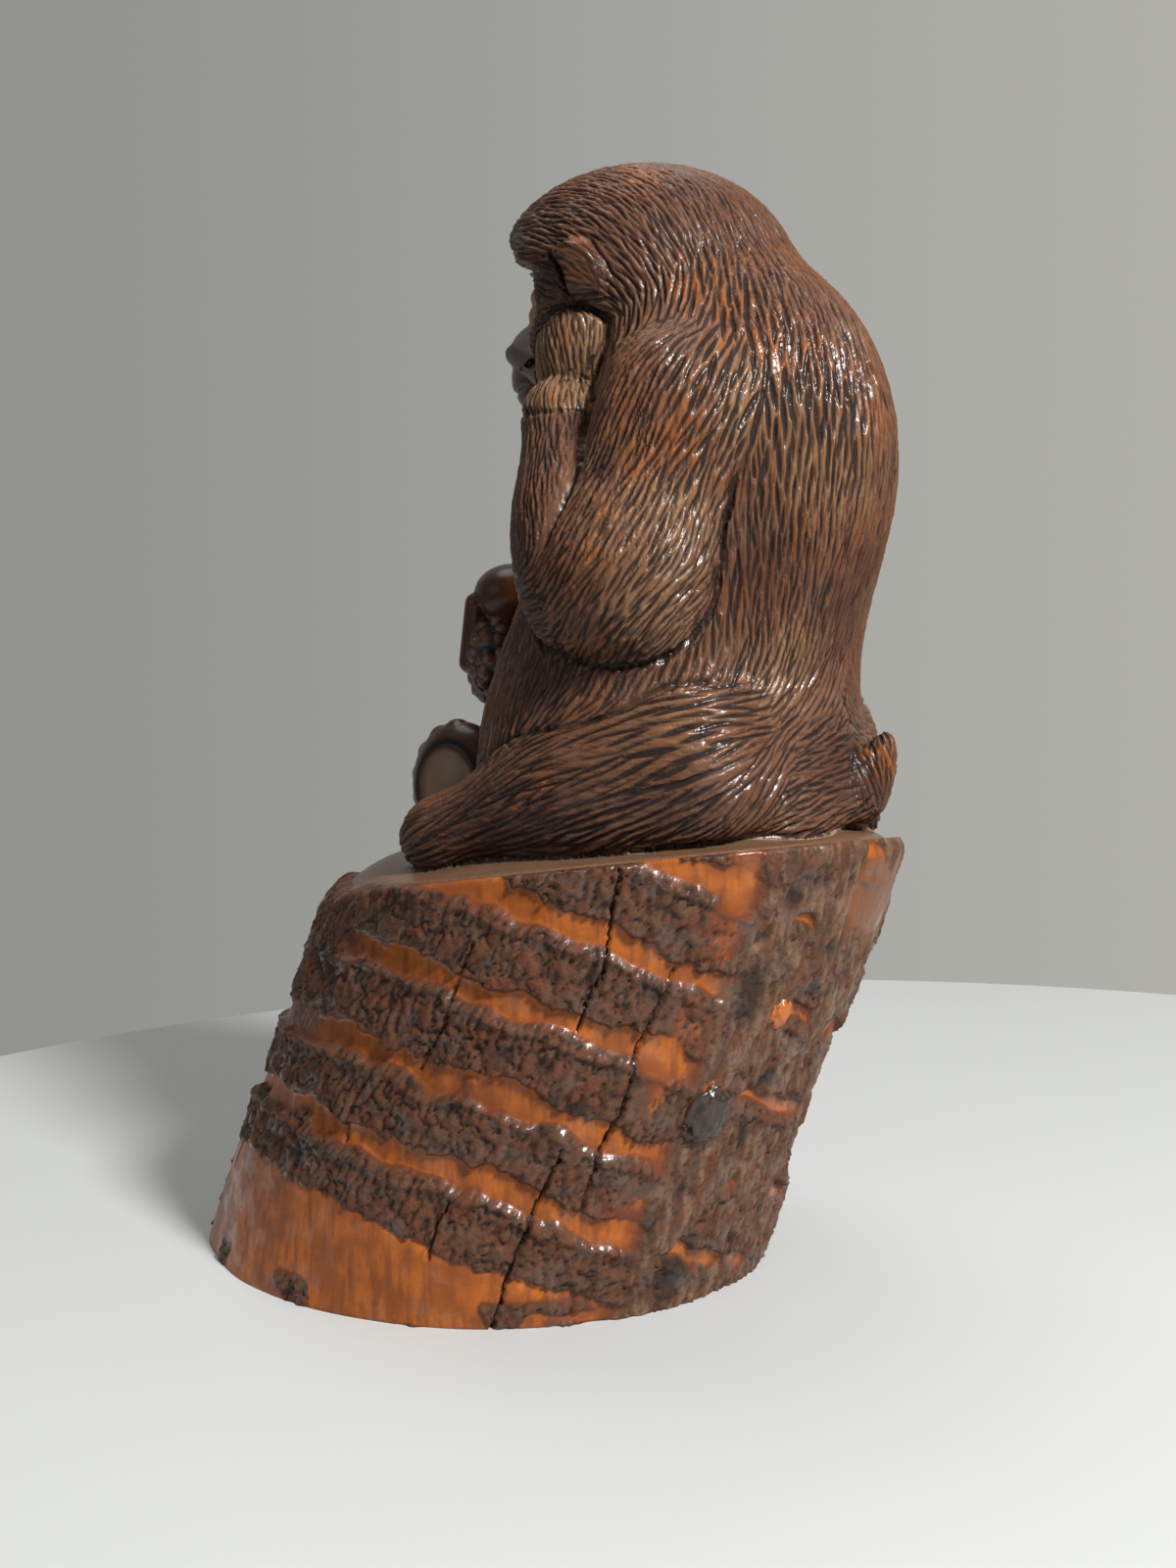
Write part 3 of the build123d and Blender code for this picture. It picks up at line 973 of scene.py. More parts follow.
def fur_flow(skin):
    """Direction of the fur at each vertex, along the skin."""
    places = skin.places
    height = places[:, 2]
    sweep = smooth_step(136 * mm, 102 * mm, height) * smooth_step(22 * mm, 42 * mm, places[:, 1])
    flow = np.array((0, 0.06, -1.0)) + sweep[:, None] * np.array((0, -1.06, 0.66))
    flow[:, 0] += 0.9 * sweep * smooth_step(58 * mm, 80 * mm, places[:, 1]) * np.sign(places[:, 0])
    brow = np.array((0, 5 * mm, 207 * mm))
    swept = unit(places - brow)
    down = smooth_step(30 * mm, 62 * mm, places[:, 1])[:, None]
    head = skin.on("head", "left_ear", "right_ear")
    flow[head] = ((1 - 0.6 * down) * swept + down * np.array((0, 0.25, -1.0)))[head]
    aims = {
        "left_upper_arm": (0.15, -0.42, -0.9),
        "right_upper_arm": (-0.15, -0.42, -0.9),
        "left_forearm": (0.32, 0.3, -0.9),
        "right_forearm": (-0.4, 0.9, 0.0),
        "left_hand": (0.3, 0.2, -0.93),
        "left_thigh": (0.12, -0.9, -0.42),
        "right_thigh": (-0.12, -0.9, -0.42),
        "left_shin": (-0.95, -0.25, -0.1),
        "right_shin": (0.9, -0.4, 0.1),
        "tail": (0.0, 0.4, -0.9),
    }
    for name, aim in aims.items():
        flow[skin.on(name)] = aim
    elbow = np.array((36 * mm, 37 * mm, 150 * mm))
    for side, upper, lower in (
        (1, "left_upper_arm", "left_forearm"), (-1, "right_upper_arm", "right_forearm")
    ):
        arc = np.cross(places - elbow * (side, 1, 1), skin.normals)
        arc = unit(arc) * np.sign(-arc[:, 2:3] + 1e-9)
        near = (smooth_step(150 * mm, 138 * mm, height) * skin.on(upper, lower))[:, None]
        flow = flow * (1 - near) + arc * near
    flow[:, 0] += 0.08 * np.sign(places[:, 0]) * (height > 120 * mm)
    for _ in range(25):
        flow = flow - skin.normals * dot(flow, skin.normals)[:, None]
        flow = 0.4 * unit(flow) + 0.6 * unit(skin.links.mean(flow))
    return unit(flow - skin.normals * dot(flow, skin.normals)[:, None])


def streaks_along(skin, flow, rng):
    """Fine streaks of light and dark that follow the fur."""
    links = skin.links
    heading = unit(skin.places[links.second] - skin.places[links.first])
    weight = np.abs(dot(heading, flow[links.first])) ** 6 + 1e-4
    total = np.bincount(links.first, weight, links.size)
    streak = rng.standard_normal(links.size)
    for _ in range(14):
        drawn = np.bincount(links.first, weight * streak[links.second], links.size)
        streak = 0.3 * streak + 0.7 * drawn / total
    return streak / streak.std()


def cut_fur(skin, sizes):
    """Cuts narrow strokes along the fur, with a thin ridge left between neighbours."""
    rng = np.random.default_rng(sizes.seed)
    flow = fur_flow(skin)
    skin.looks["streak"] = streaks_along(skin, flow, rng)
    search = KDTree(len(skin.places))
    for index, place in enumerate(skin.places.tolist()):
        search.insert(place, index)
    search.balance()
    stroke_of = {members.index(name): np.array(size) * mm for name, size in fur_strokes.items()}
    furred = skin.on(*fur_strokes)
    bold = skin.marks(bold_spots)
    covered = ~furred
    depth = np.zeros(len(skin.places))
    for index in rng.permutation(np.flatnonzero(furred)).tolist():
        if covered[index]:
            continue
        half_length, half_width, deep = stroke_of[skin.member[index]]
        half_length *= rng.uniform(0.7, 1.3)
        half_width *= rng.uniform(0.8, 1.25) * (1 + 0.7 * bold[index])
        deep *= rng.uniform(0.65, 1.15) * (1 + 0.35 * bold[index])
        near = np.array([hit[1] for hit in search.find_range(skin.places[index], half_length)])
        offset = skin.places[near] - skin.places[index]
        across = np.cross(skin.normals[index], flow[index])
        along = unit(flow[index] + across * rng.normal(0, 0.09))
        across = np.cross(skin.normals[index], along)
        run = offset @ along / half_length
        half = half_width * np.maximum(1 - run * run, 0) ** 0.6 + 1e-9
        side = np.abs(offset @ across) / half
        facing = skin.normals[near] @ skin.normals[index] > 0.2
        taken = facing & (side < 2.05) & (np.abs(run) < 0.84)
        covered[near[taken]] = True
        covered[index] = True
        inside = facing & (side < 1)
        shape = 1.15 * deep * (1 - side[inside] ** 1.3) * np.maximum(1 - run[inside] ** 2, 0) ** 0.5
        depth[near[inside]] = np.maximum(depth[near[inside]], shape)
    depth[~furred] = 0
    depth *= 1 - skin.bald
    full = np.ones(len(members)) * mm
    for position, size in stroke_of.items():
        full[position] = size[2]
    # How deep each stroke is cut, which also sets the painted shade in the grooves
    skin.looks["cut"] = np.clip(depth / full[skin.member], 0, 1)
    skin.push(0.05 * mm * skin.looks["streak"] * furred - depth)


def cut_creases(skin, sizes):
    """Deepens the creases between members and paints shade in them."""
    first = skin.member[skin.links.first]
    second = skin.member[skin.links.second]
    depth = np.zeros(len(skin.places))
    for (one, other), deep in deep_creases.items():
        pair = (first == members.index(one)) & (second == members.index(other))
        pair |= (first == members.index(other)) & (second == members.index(one))
        depth[skin.links.first[pair]] = deep * mm
    bend = np.zeros(len(depth), bool)
    for arm, other in (("left_upper_arm", "left_forearm"), ("right_upper_arm", "right_forearm")):
        pair = (first == members.index(arm)) & (second == members.index(other))
        bend[skin.links.first[pair]] = True
        bend[skin.links.second[pair]] = True
    depth[bend] *= smooth_step(141 * mm, 149 * mm, skin.places[bend, 2])
    low = smooth_step(168 * mm, 150 * mm, skin.places[:, 2])
    arms = skin.on("left_upper_arm", "right_upper_arm", "torso") & ~bend
    depth[arms] *= low[arms]
    behind = skin.on("left_thigh", "right_thigh", "torso") & (skin.places[:, 2] < 128 * mm)
    depth[behind] *= smooth_step(74 * mm, 60 * mm, skin.places[behind, 1])
    valley = bend & (skin.places[:, 2] > 145 * mm) & (skin.places[:, 2] < 171 * mm)
    valley = skin.links.smoothed(valley * 1.0, 90)
    skin.bald = smooth_step(0.1, 0.5, valley / valley.max())
    skin.looks["tone"] += 0.2 * skin.bald
    spread = depth
    for _ in range(sizes.crease_reach):
        spread = np.maximum(spread, 0.82 * skin.links.mean(spread) + 0.12 * spread)
    spread = skin.links.smoothed(spread, 3)
    # Painted shade in the creases, darker where they are cut deeper and wider
    skin.raise_look("grime", np.clip(spread / (0.8 * mm), 0, 1))
    skin.push(-spread - 1.3 * mm * valley / valley.max())


def shape_face(skin):
    """Nostrils, mouth, lids and cheeks on the bare face, with painted shade in the nostrils, the mouth line
    and round the eyes.
    """
    muzzle = node_centre("muzzle")
    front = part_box("muzzle")[0][1] - muzzle[1]
    offset = skin.places - muzzle
    push = np.zeros(len(skin.places))
    dark = np.zeros(len(skin.places))
    for side, eye_name in ((1, "left_eye"), (-1, "right_eye")):
        nostril = np.array((side * 2.6 * mm, front + 1.5 * mm, 5.0 * mm))
        reach = np.linalg.norm((offset - nostril) / np.array((1.5, 2.6, 1.1)) / mm, axis=1)
        dent = np.exp(-reach * reach)
        push -= 1.5 * mm * dent
        dark = np.maximum(dark, dent)
        gap = (skin.places - node_centre(eye_name)) / mm
        ring = np.linalg.norm(gap, axis=1)
        lid = np.exp(-((ring - 4.4) / 0.8) ** 2) * (0.55 + 0.45 * np.clip(gap[:, 2] / 3, -1, 1))
        push += 0.8 * mm * lid
        dark = np.maximum(dark, 0.85 * np.exp(-((ring - 3.6) / 0.45) ** 2))
    mouth = offset[:, 2] + 2.2 * mm - 0.01 / mm * offset[:, 0] ** 2
    line = np.exp(-(mouth / (0.55 * mm)) ** 2) * smooth_step(1 * mm, -4 * mm, offset[:, 1])
    line *= skin.on("muzzle")
    push -= 0.9 * mm * line
    dark = np.maximum(dark, line)
    furrow = np.exp(-(offset[:, 0] / (0.5 * mm)) ** 2) * smooth_step(-2 * mm, 0, offset[:, 2])
    push -= 0.35 * mm * furrow * smooth_step(5 * mm, 3 * mm, offset[:, 2])
    face = skin.on("face", "muzzle")
    # Painted shade in the nostrils, the mouth line and the ring round each eye
    skin.raise_look("grime", dark * face)
    skin.push(push * face)


def shape_fruit(skin):
    """Round bumps all over the fruit, with painted shade in the seams between them."""
    fruit = np.flatnonzero(skin.on("held_fruit"))
    near = cells_at(skin.places[fruit], 3.2 * mm)
    dome = np.clip(1 - near[:, 0] / 0.62, 0, 1)
    push = np.zeros(len(skin.places))
    push[fruit] = 0.9 * mm * dome - 0.4 * mm
    seam = np.zeros(len(skin.places))
    seam[fruit] = 1 - smooth_step(0.0, 0.25, near[:, 1] - near[:, 0])
    # Painted shade in the seams between the bumps
    skin.raise_look("grime", seam)
    skin.push(push)


def shape_ears(skin):
    """Raises each ear as a flap that grows out of the head and ends in a free front edge, with painted shade
    in the gap in front of it.
    """
    centre = node_centre("left_ear") + np.array((0, -0.6 * mm, 1.2 * mm))
    back, up = ((skin.places - centre) / mm)[:, 1:].T
    edge = np.interp(up, (-6.5, -5.4, -1.6, 0.9, 3.0, 5.9), (-0.6, -0.9, -1.6, -3.2, -5.4, -4.6))
    arch = 5.4 - 0.11 * (back + 0.4) ** 2
    tall = smooth_step(-8.5, -4.0, up)
    roll = np.sqrt(np.clip(1 - ((back - 0.2) / 6.4) ** 2, 0, 1))
    flap = roll * smooth_step(0.0, 1.8, arch - up) * tall * smooth_step(0.0, 0.7, back - edge)
    gap = np.exp(-((back - edge + 0.6) / 0.7) ** 2) * tall * smooth_step(3.6, 2.0, up)
    for name, side in (("left_ear", 1), ("right_ear", -1)):
        here = skin.on("head") & (side * skin.places[:, 0] > 14 * mm)
        places = skin.places.copy()
        places[:, 0] += side * (2.8 * mm * flap - 1.5 * mm * gap) * here
        # Painted shade in the gap in front of the ear's edge
        skin.raise_look("grime", gap * here)
        skin.member[here & (flap > 0.4)] = members.index(name)
        skin.move(places)


def shape_soles(skin):
    """Dishes the upturned soles, gives them the pale tone and paints shade on the rim round them."""
    for foot, toes, side in (("right_foot", "right_toes", 1), ("left_foot", "left_toes", -1)):
        low, high = [np.array(corner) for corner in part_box(foot)]
        offset = (skin.places - (low + high) / 2) / ((high - low) / 2)
        reach = np.hypot(offset[:, 1], offset[:, 2])
        sole = skin.on(foot, toes) & (side * skin.normals[:, 0] > 0.15)
        inner = smooth_step(0.86, 0.62, reach) * sole
        # Painted shade on the rim round the dished sole
        skin.raise_look("grime", 0.8 * np.exp(-((reach - 0.88) / 0.1) ** 2) * sole)
        skin.looks["tone"] = np.maximum(skin.looks["tone"], 0.5 + 0.5 * inner)
        skin.push(-1.5 * mm * inner)


def mark_wear_and_painted_light(skin):
    """Marks where the stain is worn to orange, partly painted highlight, and where it is pale or deep, partly
    painted light and shade.
    """
    mottle = 0.75 + 0.5 * noise_at(skin.places, 5 * mm, 3)
    # Worn orange and painted highlight: the rubbed spots and the tops of the fingers
    worn = skin.marks(rubbed_and_highlight_spots)
    top_finger = skin.on("left_fingers") * smooth_step(189.5 * mm, 191.5 * mm, skin.places[:, 2])
    skin.looks["worn"] = np.clip(np.maximum(worn, top_finger) * mottle, 0, 1)
    # The pale spots add painted light and the deep spots painted shade to the tone
    tone = skin.looks["tone"] + 0.42 * skin.marks(pale_and_lit_spots) - 0.5 * skin.marks(deep_and_shaded_spots)
    for name, shift in member_tones.items():
        tone += shift * skin.links.smoothed(skin.on(name) * 1.0, 6)
    skin.looks["tone"] = np.clip(tone, 0, 1)


def divide_skin(skin, finishes, slots):
    """Makes one piece of each member's part of the skin, or two where it is large."""
    skin_mesh = skin.mesh
    count = len(skin_mesh.polygons)
    corners = np.empty(len(skin_mesh.loops), np.int32)
    skin_mesh.loops.foreach_get("vertex_index", corners)
    starts = np.empty(count, np.int32)
    skin_mesh.polygons.foreach_get("loop_start", starts)
    owner = skin.member[corners[starts]]
    centre_x = skin.places[corners[starts], 0]
    centre_y = skin.places[corners[starts], 1]
    largest = 86000
    for index, name in enumerate(members):
        mine = np.flatnonzero(owner == index)
        groups = [("", mine)]
        if len(mine) > largest:
            middle = np.median(centre_y[mine])
            halves = [("_left", mine[centre_x[mine] >= 0]), ("_right", mine[centre_x[mine] < 0])]
            groups = []
            for suffix, half in halves:
                if len(half) > largest:
                    groups.append((suffix + "_front", half[centre_y[half] < middle]))
                    groups.append((suffix + "_back", half[centre_y[half] >= middle]))
                else:
                    groups.append((suffix, half))
        for suffix, faces in groups:
            mesh = faces_as_mesh(skin, faces, corners, starts, f"carved_{name}{suffix}")
            new_piece(f"carved_{name}{suffix}", mesh, slots[name], finishes[slots[name]], name)
    bpy.data.meshes.remove(skin_mesh)


def faces_as_mesh(skin, faces, corners, starts, name):
    """A mesh of some of the skin's faces, shaded as on the whole skin and closed inwards at its cuts."""
    quads = corners[starts[faces][:, None] + np.arange(4)]
    used, local = np.unique(quads, return_inverse=True)
    quads = local.reshape(-1, 4)
    places, normals = skin.places[used], skin.normals[used]
    tips, caps = inner_caps(skin.tree, quads, places)
    mesh = bpy.data.meshes.new(name)
    mesh.from_pydata(np.concatenate([places, tips]).tolist(), [], quads.tolist() + caps)
    mesh.shade_smooth()
    spare = np.zeros((len(tips), 3)) + (0, 0, 1)
    mesh.normals_split_custom_set_from_vertices(np.concatenate([normals, spare]).tolist())
    for label, values in skin.looks.items():
        set_attribute(mesh, label, np.concatenate([values[used], np.zeros(len(tips))]))
    return mesh


def sunk(tree, points, depth):
    """Points pushed inside the skin, at least the given depth under it."""
    moved = []
    for point in points:
        surface, normal, _, _ = tree.find_nearest(point)
        under = (surface - Vector(point)).dot(normal)
        moved.append(Vector(point) if under > depth else surface - normal * depth)
    return np.array(moved)


def open_borders(quads, size):
    """Closed chains of the edges that only one face uses."""
    sides = np.concatenate([quads[:, [0, 1]], quads[:, [1, 2]], quads[:, [2, 3]], quads[:, [3, 0]]])
    forth, back = sides[:, 0] * size + sides[:, 1], sides[:, 1] * size + sides[:, 0]
    onward = {}
    for start, end in sides[~np.isin(forth, back)].tolist():
        onward.setdefault(start, []).append(end)
    while onward:
        border = [next(iter(onward))]
        while border[-1] in onward:
            ends = onward[border[-1]]
            following = ends.pop()
            if not ends:
                del onward[border[-1]]
            border.append(following)
        yield border


def inner_caps(tree, quads, places):
    """Points inside a cut piece, and the faces that close each of its open borders with them."""
    size = len(places)
    points, faces = [], []
    for border in open_borders(quads, size):
        ring = places[border]
        middle = ring[:-1].mean(0)
        outer = border
        for share in (0.0, 0.5):
            inner = [size + len(points) + step for step in range(len(border) - 1)]
            inner.append(inner[0])
            points.extend(sunk(tree, ring[:-1] + share * (middle - ring[:-1]), cap_depth))
            steps = range(len(border) - 1)
            faces.extend([outer[i + 1], outer[i], inner[i], inner[i + 1]] for i in steps)
            outer = inner
        faces.extend([end, begin, size + len(points)] for begin, end in zip(outer, outer[1:]))
        points.extend(sunk(tree, [middle], cap_depth))
    return np.array(points).reshape(-1, 3), faces


# Stump

def stem_directions(sizes):
    """Axis of the root and the direction square to it and to X."""
    axis = np.array((0, math.sin(sizes.lean), math.cos(sizes.lean)))
    return axis, np.cross(axis, (1, 0, 0))


def on_stem(sizes, turn, along, radius):
    """Places at a turn round the root, a height along its axis and a distance from it."""
    axis, rear = stem_directions(sizes)
    outward = np.cos(turn)[:, None] * np.array((1, 0, 0)) + np.sin(turn)[:, None] * rear
    return along[:, None] * axis + radius[:, None] * outward


def radius_at(sizes, along):
    """Mean radius of the root at a height along its axis."""
    return sizes.radius - along * math.tan(sizes.taper)


def plane_level(sizes, places):
    """Height of the sawn rim's plane over or under each place."""
    rise = math.tan(sizes.rim_slope) * (places[:, 1] - sizes.rim_setback)
    return sizes.rim_height + rise + math.tan(sizes.rim_side_slope) * places[:, 0]


def rim_level(sizes, places):
    """Height of the rim: its plane, which runs out level at the front."""
    over = plane_level(sizes, places) - sizes.front_height
    return sizes.front_height + 0.5 * (over + np.sqrt(over * over + (3 * mm) ** 2))


def rim_round(sizes, turn):
    """Rounding of the rim's corner, small all round and large at the front."""
    front = smooth_step(math.radians(75), math.radians(40), np.abs(turn_gap(turn, -95)))
    rear = smooth_step(math.radians(34), math.radians(14), np.abs(turn_gap(turn, 92)))
    return 1.4 * mm + (sizes.front_round - 1.4 * mm) * np.maximum(front, 0.55 * rear)


def stem_span(sizes, turn):
    """Heights along the axis at which the root's side meets the floor and the rim."""
    axis, rear = stem_directions(sizes)
    foot = np.zeros(len(turn))
    rim = np.full(len(turn), sizes.rim_height)
    for _ in range(8):
        foot = -np.sin(turn) * rear[2] * radius_at(sizes, foot) / axis[2]
        places = on_stem(sizes, turn, rim, radius_at(sizes, rim))
        rim += (rim_level(sizes, places) - places[:, 2]) / axis[2]
    return foot, rim


# Cracks in the bark: turn in degrees, height along the axis and half width in millimetres at each point
bark_cracks = (
    ((24, 103, 0.35), (25.5, 92, 0.3), (27, 84, 0.25), (26, 78, 0.2), (26.5, 71, 0.12)),
    ((40, 88, 0.15), (38.5, 72, 0.3), (39.5, 60, 0.35), (38, 50, 0.45), (38, 38, 0.2)),
    ((31, 49, 0.15), (30, 38, 0.35), (29, 24, 0.4), (29.5, 10, 0.25)),
    ((2, 80, 0.12), (1, 70, 0.3), (1.5, 62, 0.25), (-1, 52, 0.12)),
    ((-43, 34, 0.2), (-46, 27, 0.7), (-48, 20, 0.9), (-50, 12, 0.6), (-51, 2, 0.3)),
    ((14, 32, 0.12), (13, 26, 0.25), (14, 19, 0.12)),
    ((-12, 44, 0.1), (-13, 38, 0.22), (-12, 31, 0.1)),
    ((160, 90, 0.2), (163, 75, 0.35), (161, 58, 0.4), (164, 40, 0.2)),
    ((215, 50, 0.2), (213, 38, 0.4), (216, 22, 0.35), (214, 8, 0.15)),
    ((262, 60, 0.15), (264, 46, 0.35), (261, 30, 0.3), (263, 12, 0.2)),
)


def crack_depth(sizes, turn, along):
    """How far each place lies into a crack, from 0 outside to 1 in its middle."""
    deep = np.zeros(len(turn))
    wobble = noise_at(np.stack([0 * along, along, 7 + 0 * along], 1), 3 * mm, 3)
    for points in bark_cracks:
        angles, heights, halves = np.array(points)[::-1].T
        heights = heights * mm
        line = np.radians(np.interp(along, heights, angles)) + 0.008 * wobble
        half = 0.7 * np.interp(along, heights, halves, left=0, right=0) * mm
        gap = (turn - line + math.pi) % (2 * math.pi) - math.pi
        away = np.abs(gap) * sizes.radius
        into = np.clip(1.5 - away / np.maximum(half, 0.2 * mm), 0, 1)
        deep = np.maximum(deep, np.where(half > 0, into, 0))
    return deep


def turn_gap(turn, middle):
    """Turn from a middle angle in degrees, within half a turn either way."""
    return (turn - math.radians(middle) + math.pi) % (2 * math.pi) - math.pi


def turned(turn, low, high):
    """Rises from 0 to 1 between two turns in degrees."""
    return smooth_step(math.radians(low), math.radians(high), turn)


def stump_relief(sizes, turn, along):
    """Radius and finish values of the bark at each place."""
    mean = radius_at(sizes, along)
    tilt = math.tan(sizes.ring_tilt) * sizes.radius
    flat = np.stack([np.cos(turn) * sizes.radius, np.sin(turn) * sizes.radius, along], 1)
    waver = 2.3 * mm * noise_at(flat, 17 * mm, 3)
    low = along - tilt * np.cos(turn - sizes.ring_heading)
    ring = (low + waver - sizes.ring_first) / sizes.ring_pitch
    number = np.floor(ring + 0.5)
    phase = ring - number
    warp = noise_at(flat, 3.2 * mm, 2)
    folds = noise_at(flat * (1, 1, 0.42) + (1.3 * mm * warp)[:, None], 2.1 * mm)
    fine = noise_at(flat, 1.0 * mm, 3)
    lump = noise_at(flat + 9.0, 6 * mm, 3)
    patch = noise_at(flat + 3.0, 11 * mm, 2)
    grain = noise_at(flat * (1, 1, 0.12), 1.1 * mm, 2)

    # Bands of bark end in a scalloped edge below and fade into a smooth ridge above
    scallop = 0.05 * folds + 0.02 * fine
    groove = 0.12 + 0.09 * patch + 0.02 * np.sin(2.1 * number)
    below = smooth_step(0.0, 0.035, phase - groove + scallop)
    above = smooth_step(0.0, 0.09, phase + 0.22 + 0.14 * patch)
    bark = np.where(phase > 0, below, 1 - above)
    side = turned(turn, 48, 56) * turned(turn, 140, 120)
    side *= smooth_step(-0.45, -0.1, patch)
    bark = np.maximum(bark, side)
    left = turned(turn + 0.25 * patch, -22, -42) * smooth_step(36 * mm, 52 * mm, along)
    bark = np.maximum(bark, left * turned(turn, -150, -120))
    bare = smooth_step(0.2, 0.13, ring + 0.07 * folds + 0.04 * patch)
    bare *= turned(turn, 46, 36) * turned(turn, -110, -90)
    strip = turned(turn, 40, 45) * turned(turn, 54, 49)
    strip = 0.85 * strip * smooth_step(0.8, 1.4, ring) * smooth_step(-0.1, 0.15, patch + 0.4 * fine)
    bark = bark * (1 - strip)
    chip = smooth_step(0.25, 0.4, patch) * smooth_step(7 * mm, 4 * mm, along - stem_span(sizes, turn)[0])
    bark = np.maximum(bark * (1 - bare), 0.9 * chip)
    facet = np.hypot(turn_gap(turn, 90) / 0.34, (along - 105 * mm) / (11 * mm)) + 0.35 * patch
    facet = smooth_step(1.0, 0.6, facet)
    bark = bark * (1 - facet)

    # Wiggly lines, lumps and long grain stand out of the bark
    seam = np.exp(-(folds / 0.075) ** 2)
    worn = smooth_step(-20 * mm, 10 * mm, low - 62 * mm) * turned(turn, 10, -20)
    rugged = 0.5 * lump + 0.8 * np.abs(folds) - 0.5 * seam + 0.22 * fine
    rugged = rugged * (1 - 0.4 * side) * (1 - 0.4 * worn)
    round_groove = np.cos(np.clip(phase / 0.4, -1, 1) * math.pi / 2)
    radius = mean - 0.9 * mm * (1 - bark) * round_groove * (1 - bare) * (1 - facet)
    radius += bark * mm * (0.1 + rugged + 0.55 * side * grain + 0.3 * worn * grain)
    ridge = np.exp(-((phase + 0.25) / 0.035) ** 2) * (1 - side) * (1 - bare)
    radius += 0.6 * mm * ridge + 0.9 * mm * noise_at(flat, 30 * mm, 2) + 0.05 * mm * fine
    # Cracks are cut into the bark, and the finish fills them with painted shade
    crack = crack_depth(sizes, turn, along)
    radius -= 2.2 * mm * crack
    radius, smooth = scoop_radius(sizes, turn, along, radius)
    # Pits: dents, seams and grain grooves of the bark, which the finish fills with painted shade
    dent = np.clip(-1.5 * lump - 0.45, 0, 1) + np.clip(-2 * fine - 0.6, 0, 0.5)
    pit = np.clip(0.8 * seam * (1 - 0.6 * side) + dent + 0.5 * side * np.clip(-grain, 0, 1), 0, 1)
    # Three spots painted as dark holes: painted shade with no hollow cut in the bark
    for middle, height, wide, tall in ((57, 86, 4.0, 8.0), (62, 28, 5.0, 9.0), (52, 36, 3.0, 5.0)):
        away = np.hypot(np.degrees(turn_gap(turn, middle)) / wide, (along / mm - height) / tall)
        pit = np.maximum(pit, 0.9 * smooth_step(1.2, 0.5, away + 0.3 * fine))
    red = np.clip(ridge + 0.8 * smooth_step(-0.05, -0.2, phase) * smooth_step(-0.42, -0.3, phase), 0, 1)
    return radius, {
        "bark": bark * (1 - smooth), "pit": pit * bark, "crack": crack,
        "red": red * (1 - bare), "dull": smooth,
        "facet": facet, "side": side,
    }


def scoop_radius(sizes, turn, along, radius):
    """Radius with the natural hollow at the rear, and how deep in the hollow each place is."""
    middle_turn, middle_along = math.radians(118), 58 * mm
    half_tall, half_wide, deep = 24 * mm, 33 * mm, 10 * mm
    gap = turn - middle_turn
    mean = radius_at(sizes, middle_along)
    a = (np.cos(gap) / deep) ** 2 + (np.sin(gap) / half_wide) ** 2
    b = -2 * mean * np.cos(gap) / deep ** 2
    c = (mean / deep) ** 2 + ((along - middle_along) / half_tall) ** 2 - 1
    under = b * b - 4 * a * c
    inside = (under > 0) & (np.cos(gap) > 0)
    near = np.where(inside, (-b - np.sqrt(np.maximum(under, 0))) / (2 * a), radius + 9 * mm)
    cut = np.maximum(radius - near, 0)
    hollowed = np.minimum(radius, near + 0.3 * (radius - radius_at(sizes, along)))
    return hollowed, smooth_step(0.5 * mm, 3 * mm, cut)


def half_stump(sizes, first_turn, name):
    """One half of the root, closed at the foot, the rim and its inner cut."""
    closed = bmesh.new()
    bmesh.ops.create_grid(closed, x_segments=sizes.around, y_segments=sizes.along, size=1)
    flat = np.array([vertex.co for vertex in closed.verts])
    turn = first_turn + math.pi * (flat[:, 0] + 1) / 2
    part = (flat[:, 1] + 1) / 2
    foot, rim = stem_span(sizes, turn)
    along = foot + part * (rim - foot)
    radius, looks = stump_relief(sizes, turn, along)
    edge = rim_round(sizes, turn)
    up = np.clip(1 - (rim - along) / edge, 0, 1)
    radius -= edge * (1 - np.sqrt(1 - up * up))
    places = on_stem(sizes, turn, along, radius)
    axis, _ = stem_directions(sizes)
    for _ in range(3):
        over = places[:, 2] - rim_level(sizes, places)
        places -= (np.where(part > 0.999, over, np.maximum(over, 0)) / axis[2])[:, None] * axis
    sunk = np.where(part < 0.001, places[:, 2], np.minimum(places[:, 2], 0))
    places -= (sunk / axis[2])[:, None] * axis
    layers = {label: closed.verts.layers.float.new(label) for label in looks}
    closed.verts.ensure_lookup_table()
    for index, vertex in enumerate(closed.verts):
        vertex.co = places[index]
        for label, layer in layers.items():
            vertex[layer] = looks[label][index]
    height = {vertex: part[index] for index, vertex in enumerate(closed.verts)}
    border = [edge for edge in closed.edges if edge.is_boundary]
    top = [edge for edge in border if min(height[vertex] for vertex in edge.verts) > 0.999]
    bottom = [edge for edge in border if max(height[vertex] for vertex in edge.verts) < 0.001]
    heart = Vector(axis * (sizes.rim_height - 1 * mm) / axis[2])
    for edges, centre, drop in ((top, heart, 1 * mm), (bottom, Vector((0, 0, 0)), 0.0)):
        for step in (0.93, 0.86, 0.0):
            made = bmesh.ops.extrude_edge_only(closed, edges=edges)["geom"]
            edges = [item for item in made if isinstance(item, bmesh.types.BMEdge)]
            for vertex in [item for item in made if isinstance(item, bmesh.types.BMVert)]:
                vertex.co = centre + (vertex.co - centre) * step - Vector((0, 0, drop if step else 0))
            drop = 0.0
    bmesh.ops.remove_doubles(closed, verts=closed.verts, dist=0.002 * mm)
    bmesh.ops.holes_fill(closed, edges=[edge for edge in closed.edges if edge.is_boundary], sides=0)
    bmesh.ops.recalc_face_normals(closed, faces=closed.faces)
    mesh = bpy.data.meshes.new(name)
    closed.to_mesh(mesh)
    closed.free()
    mesh.shade_smooth()
    return mesh


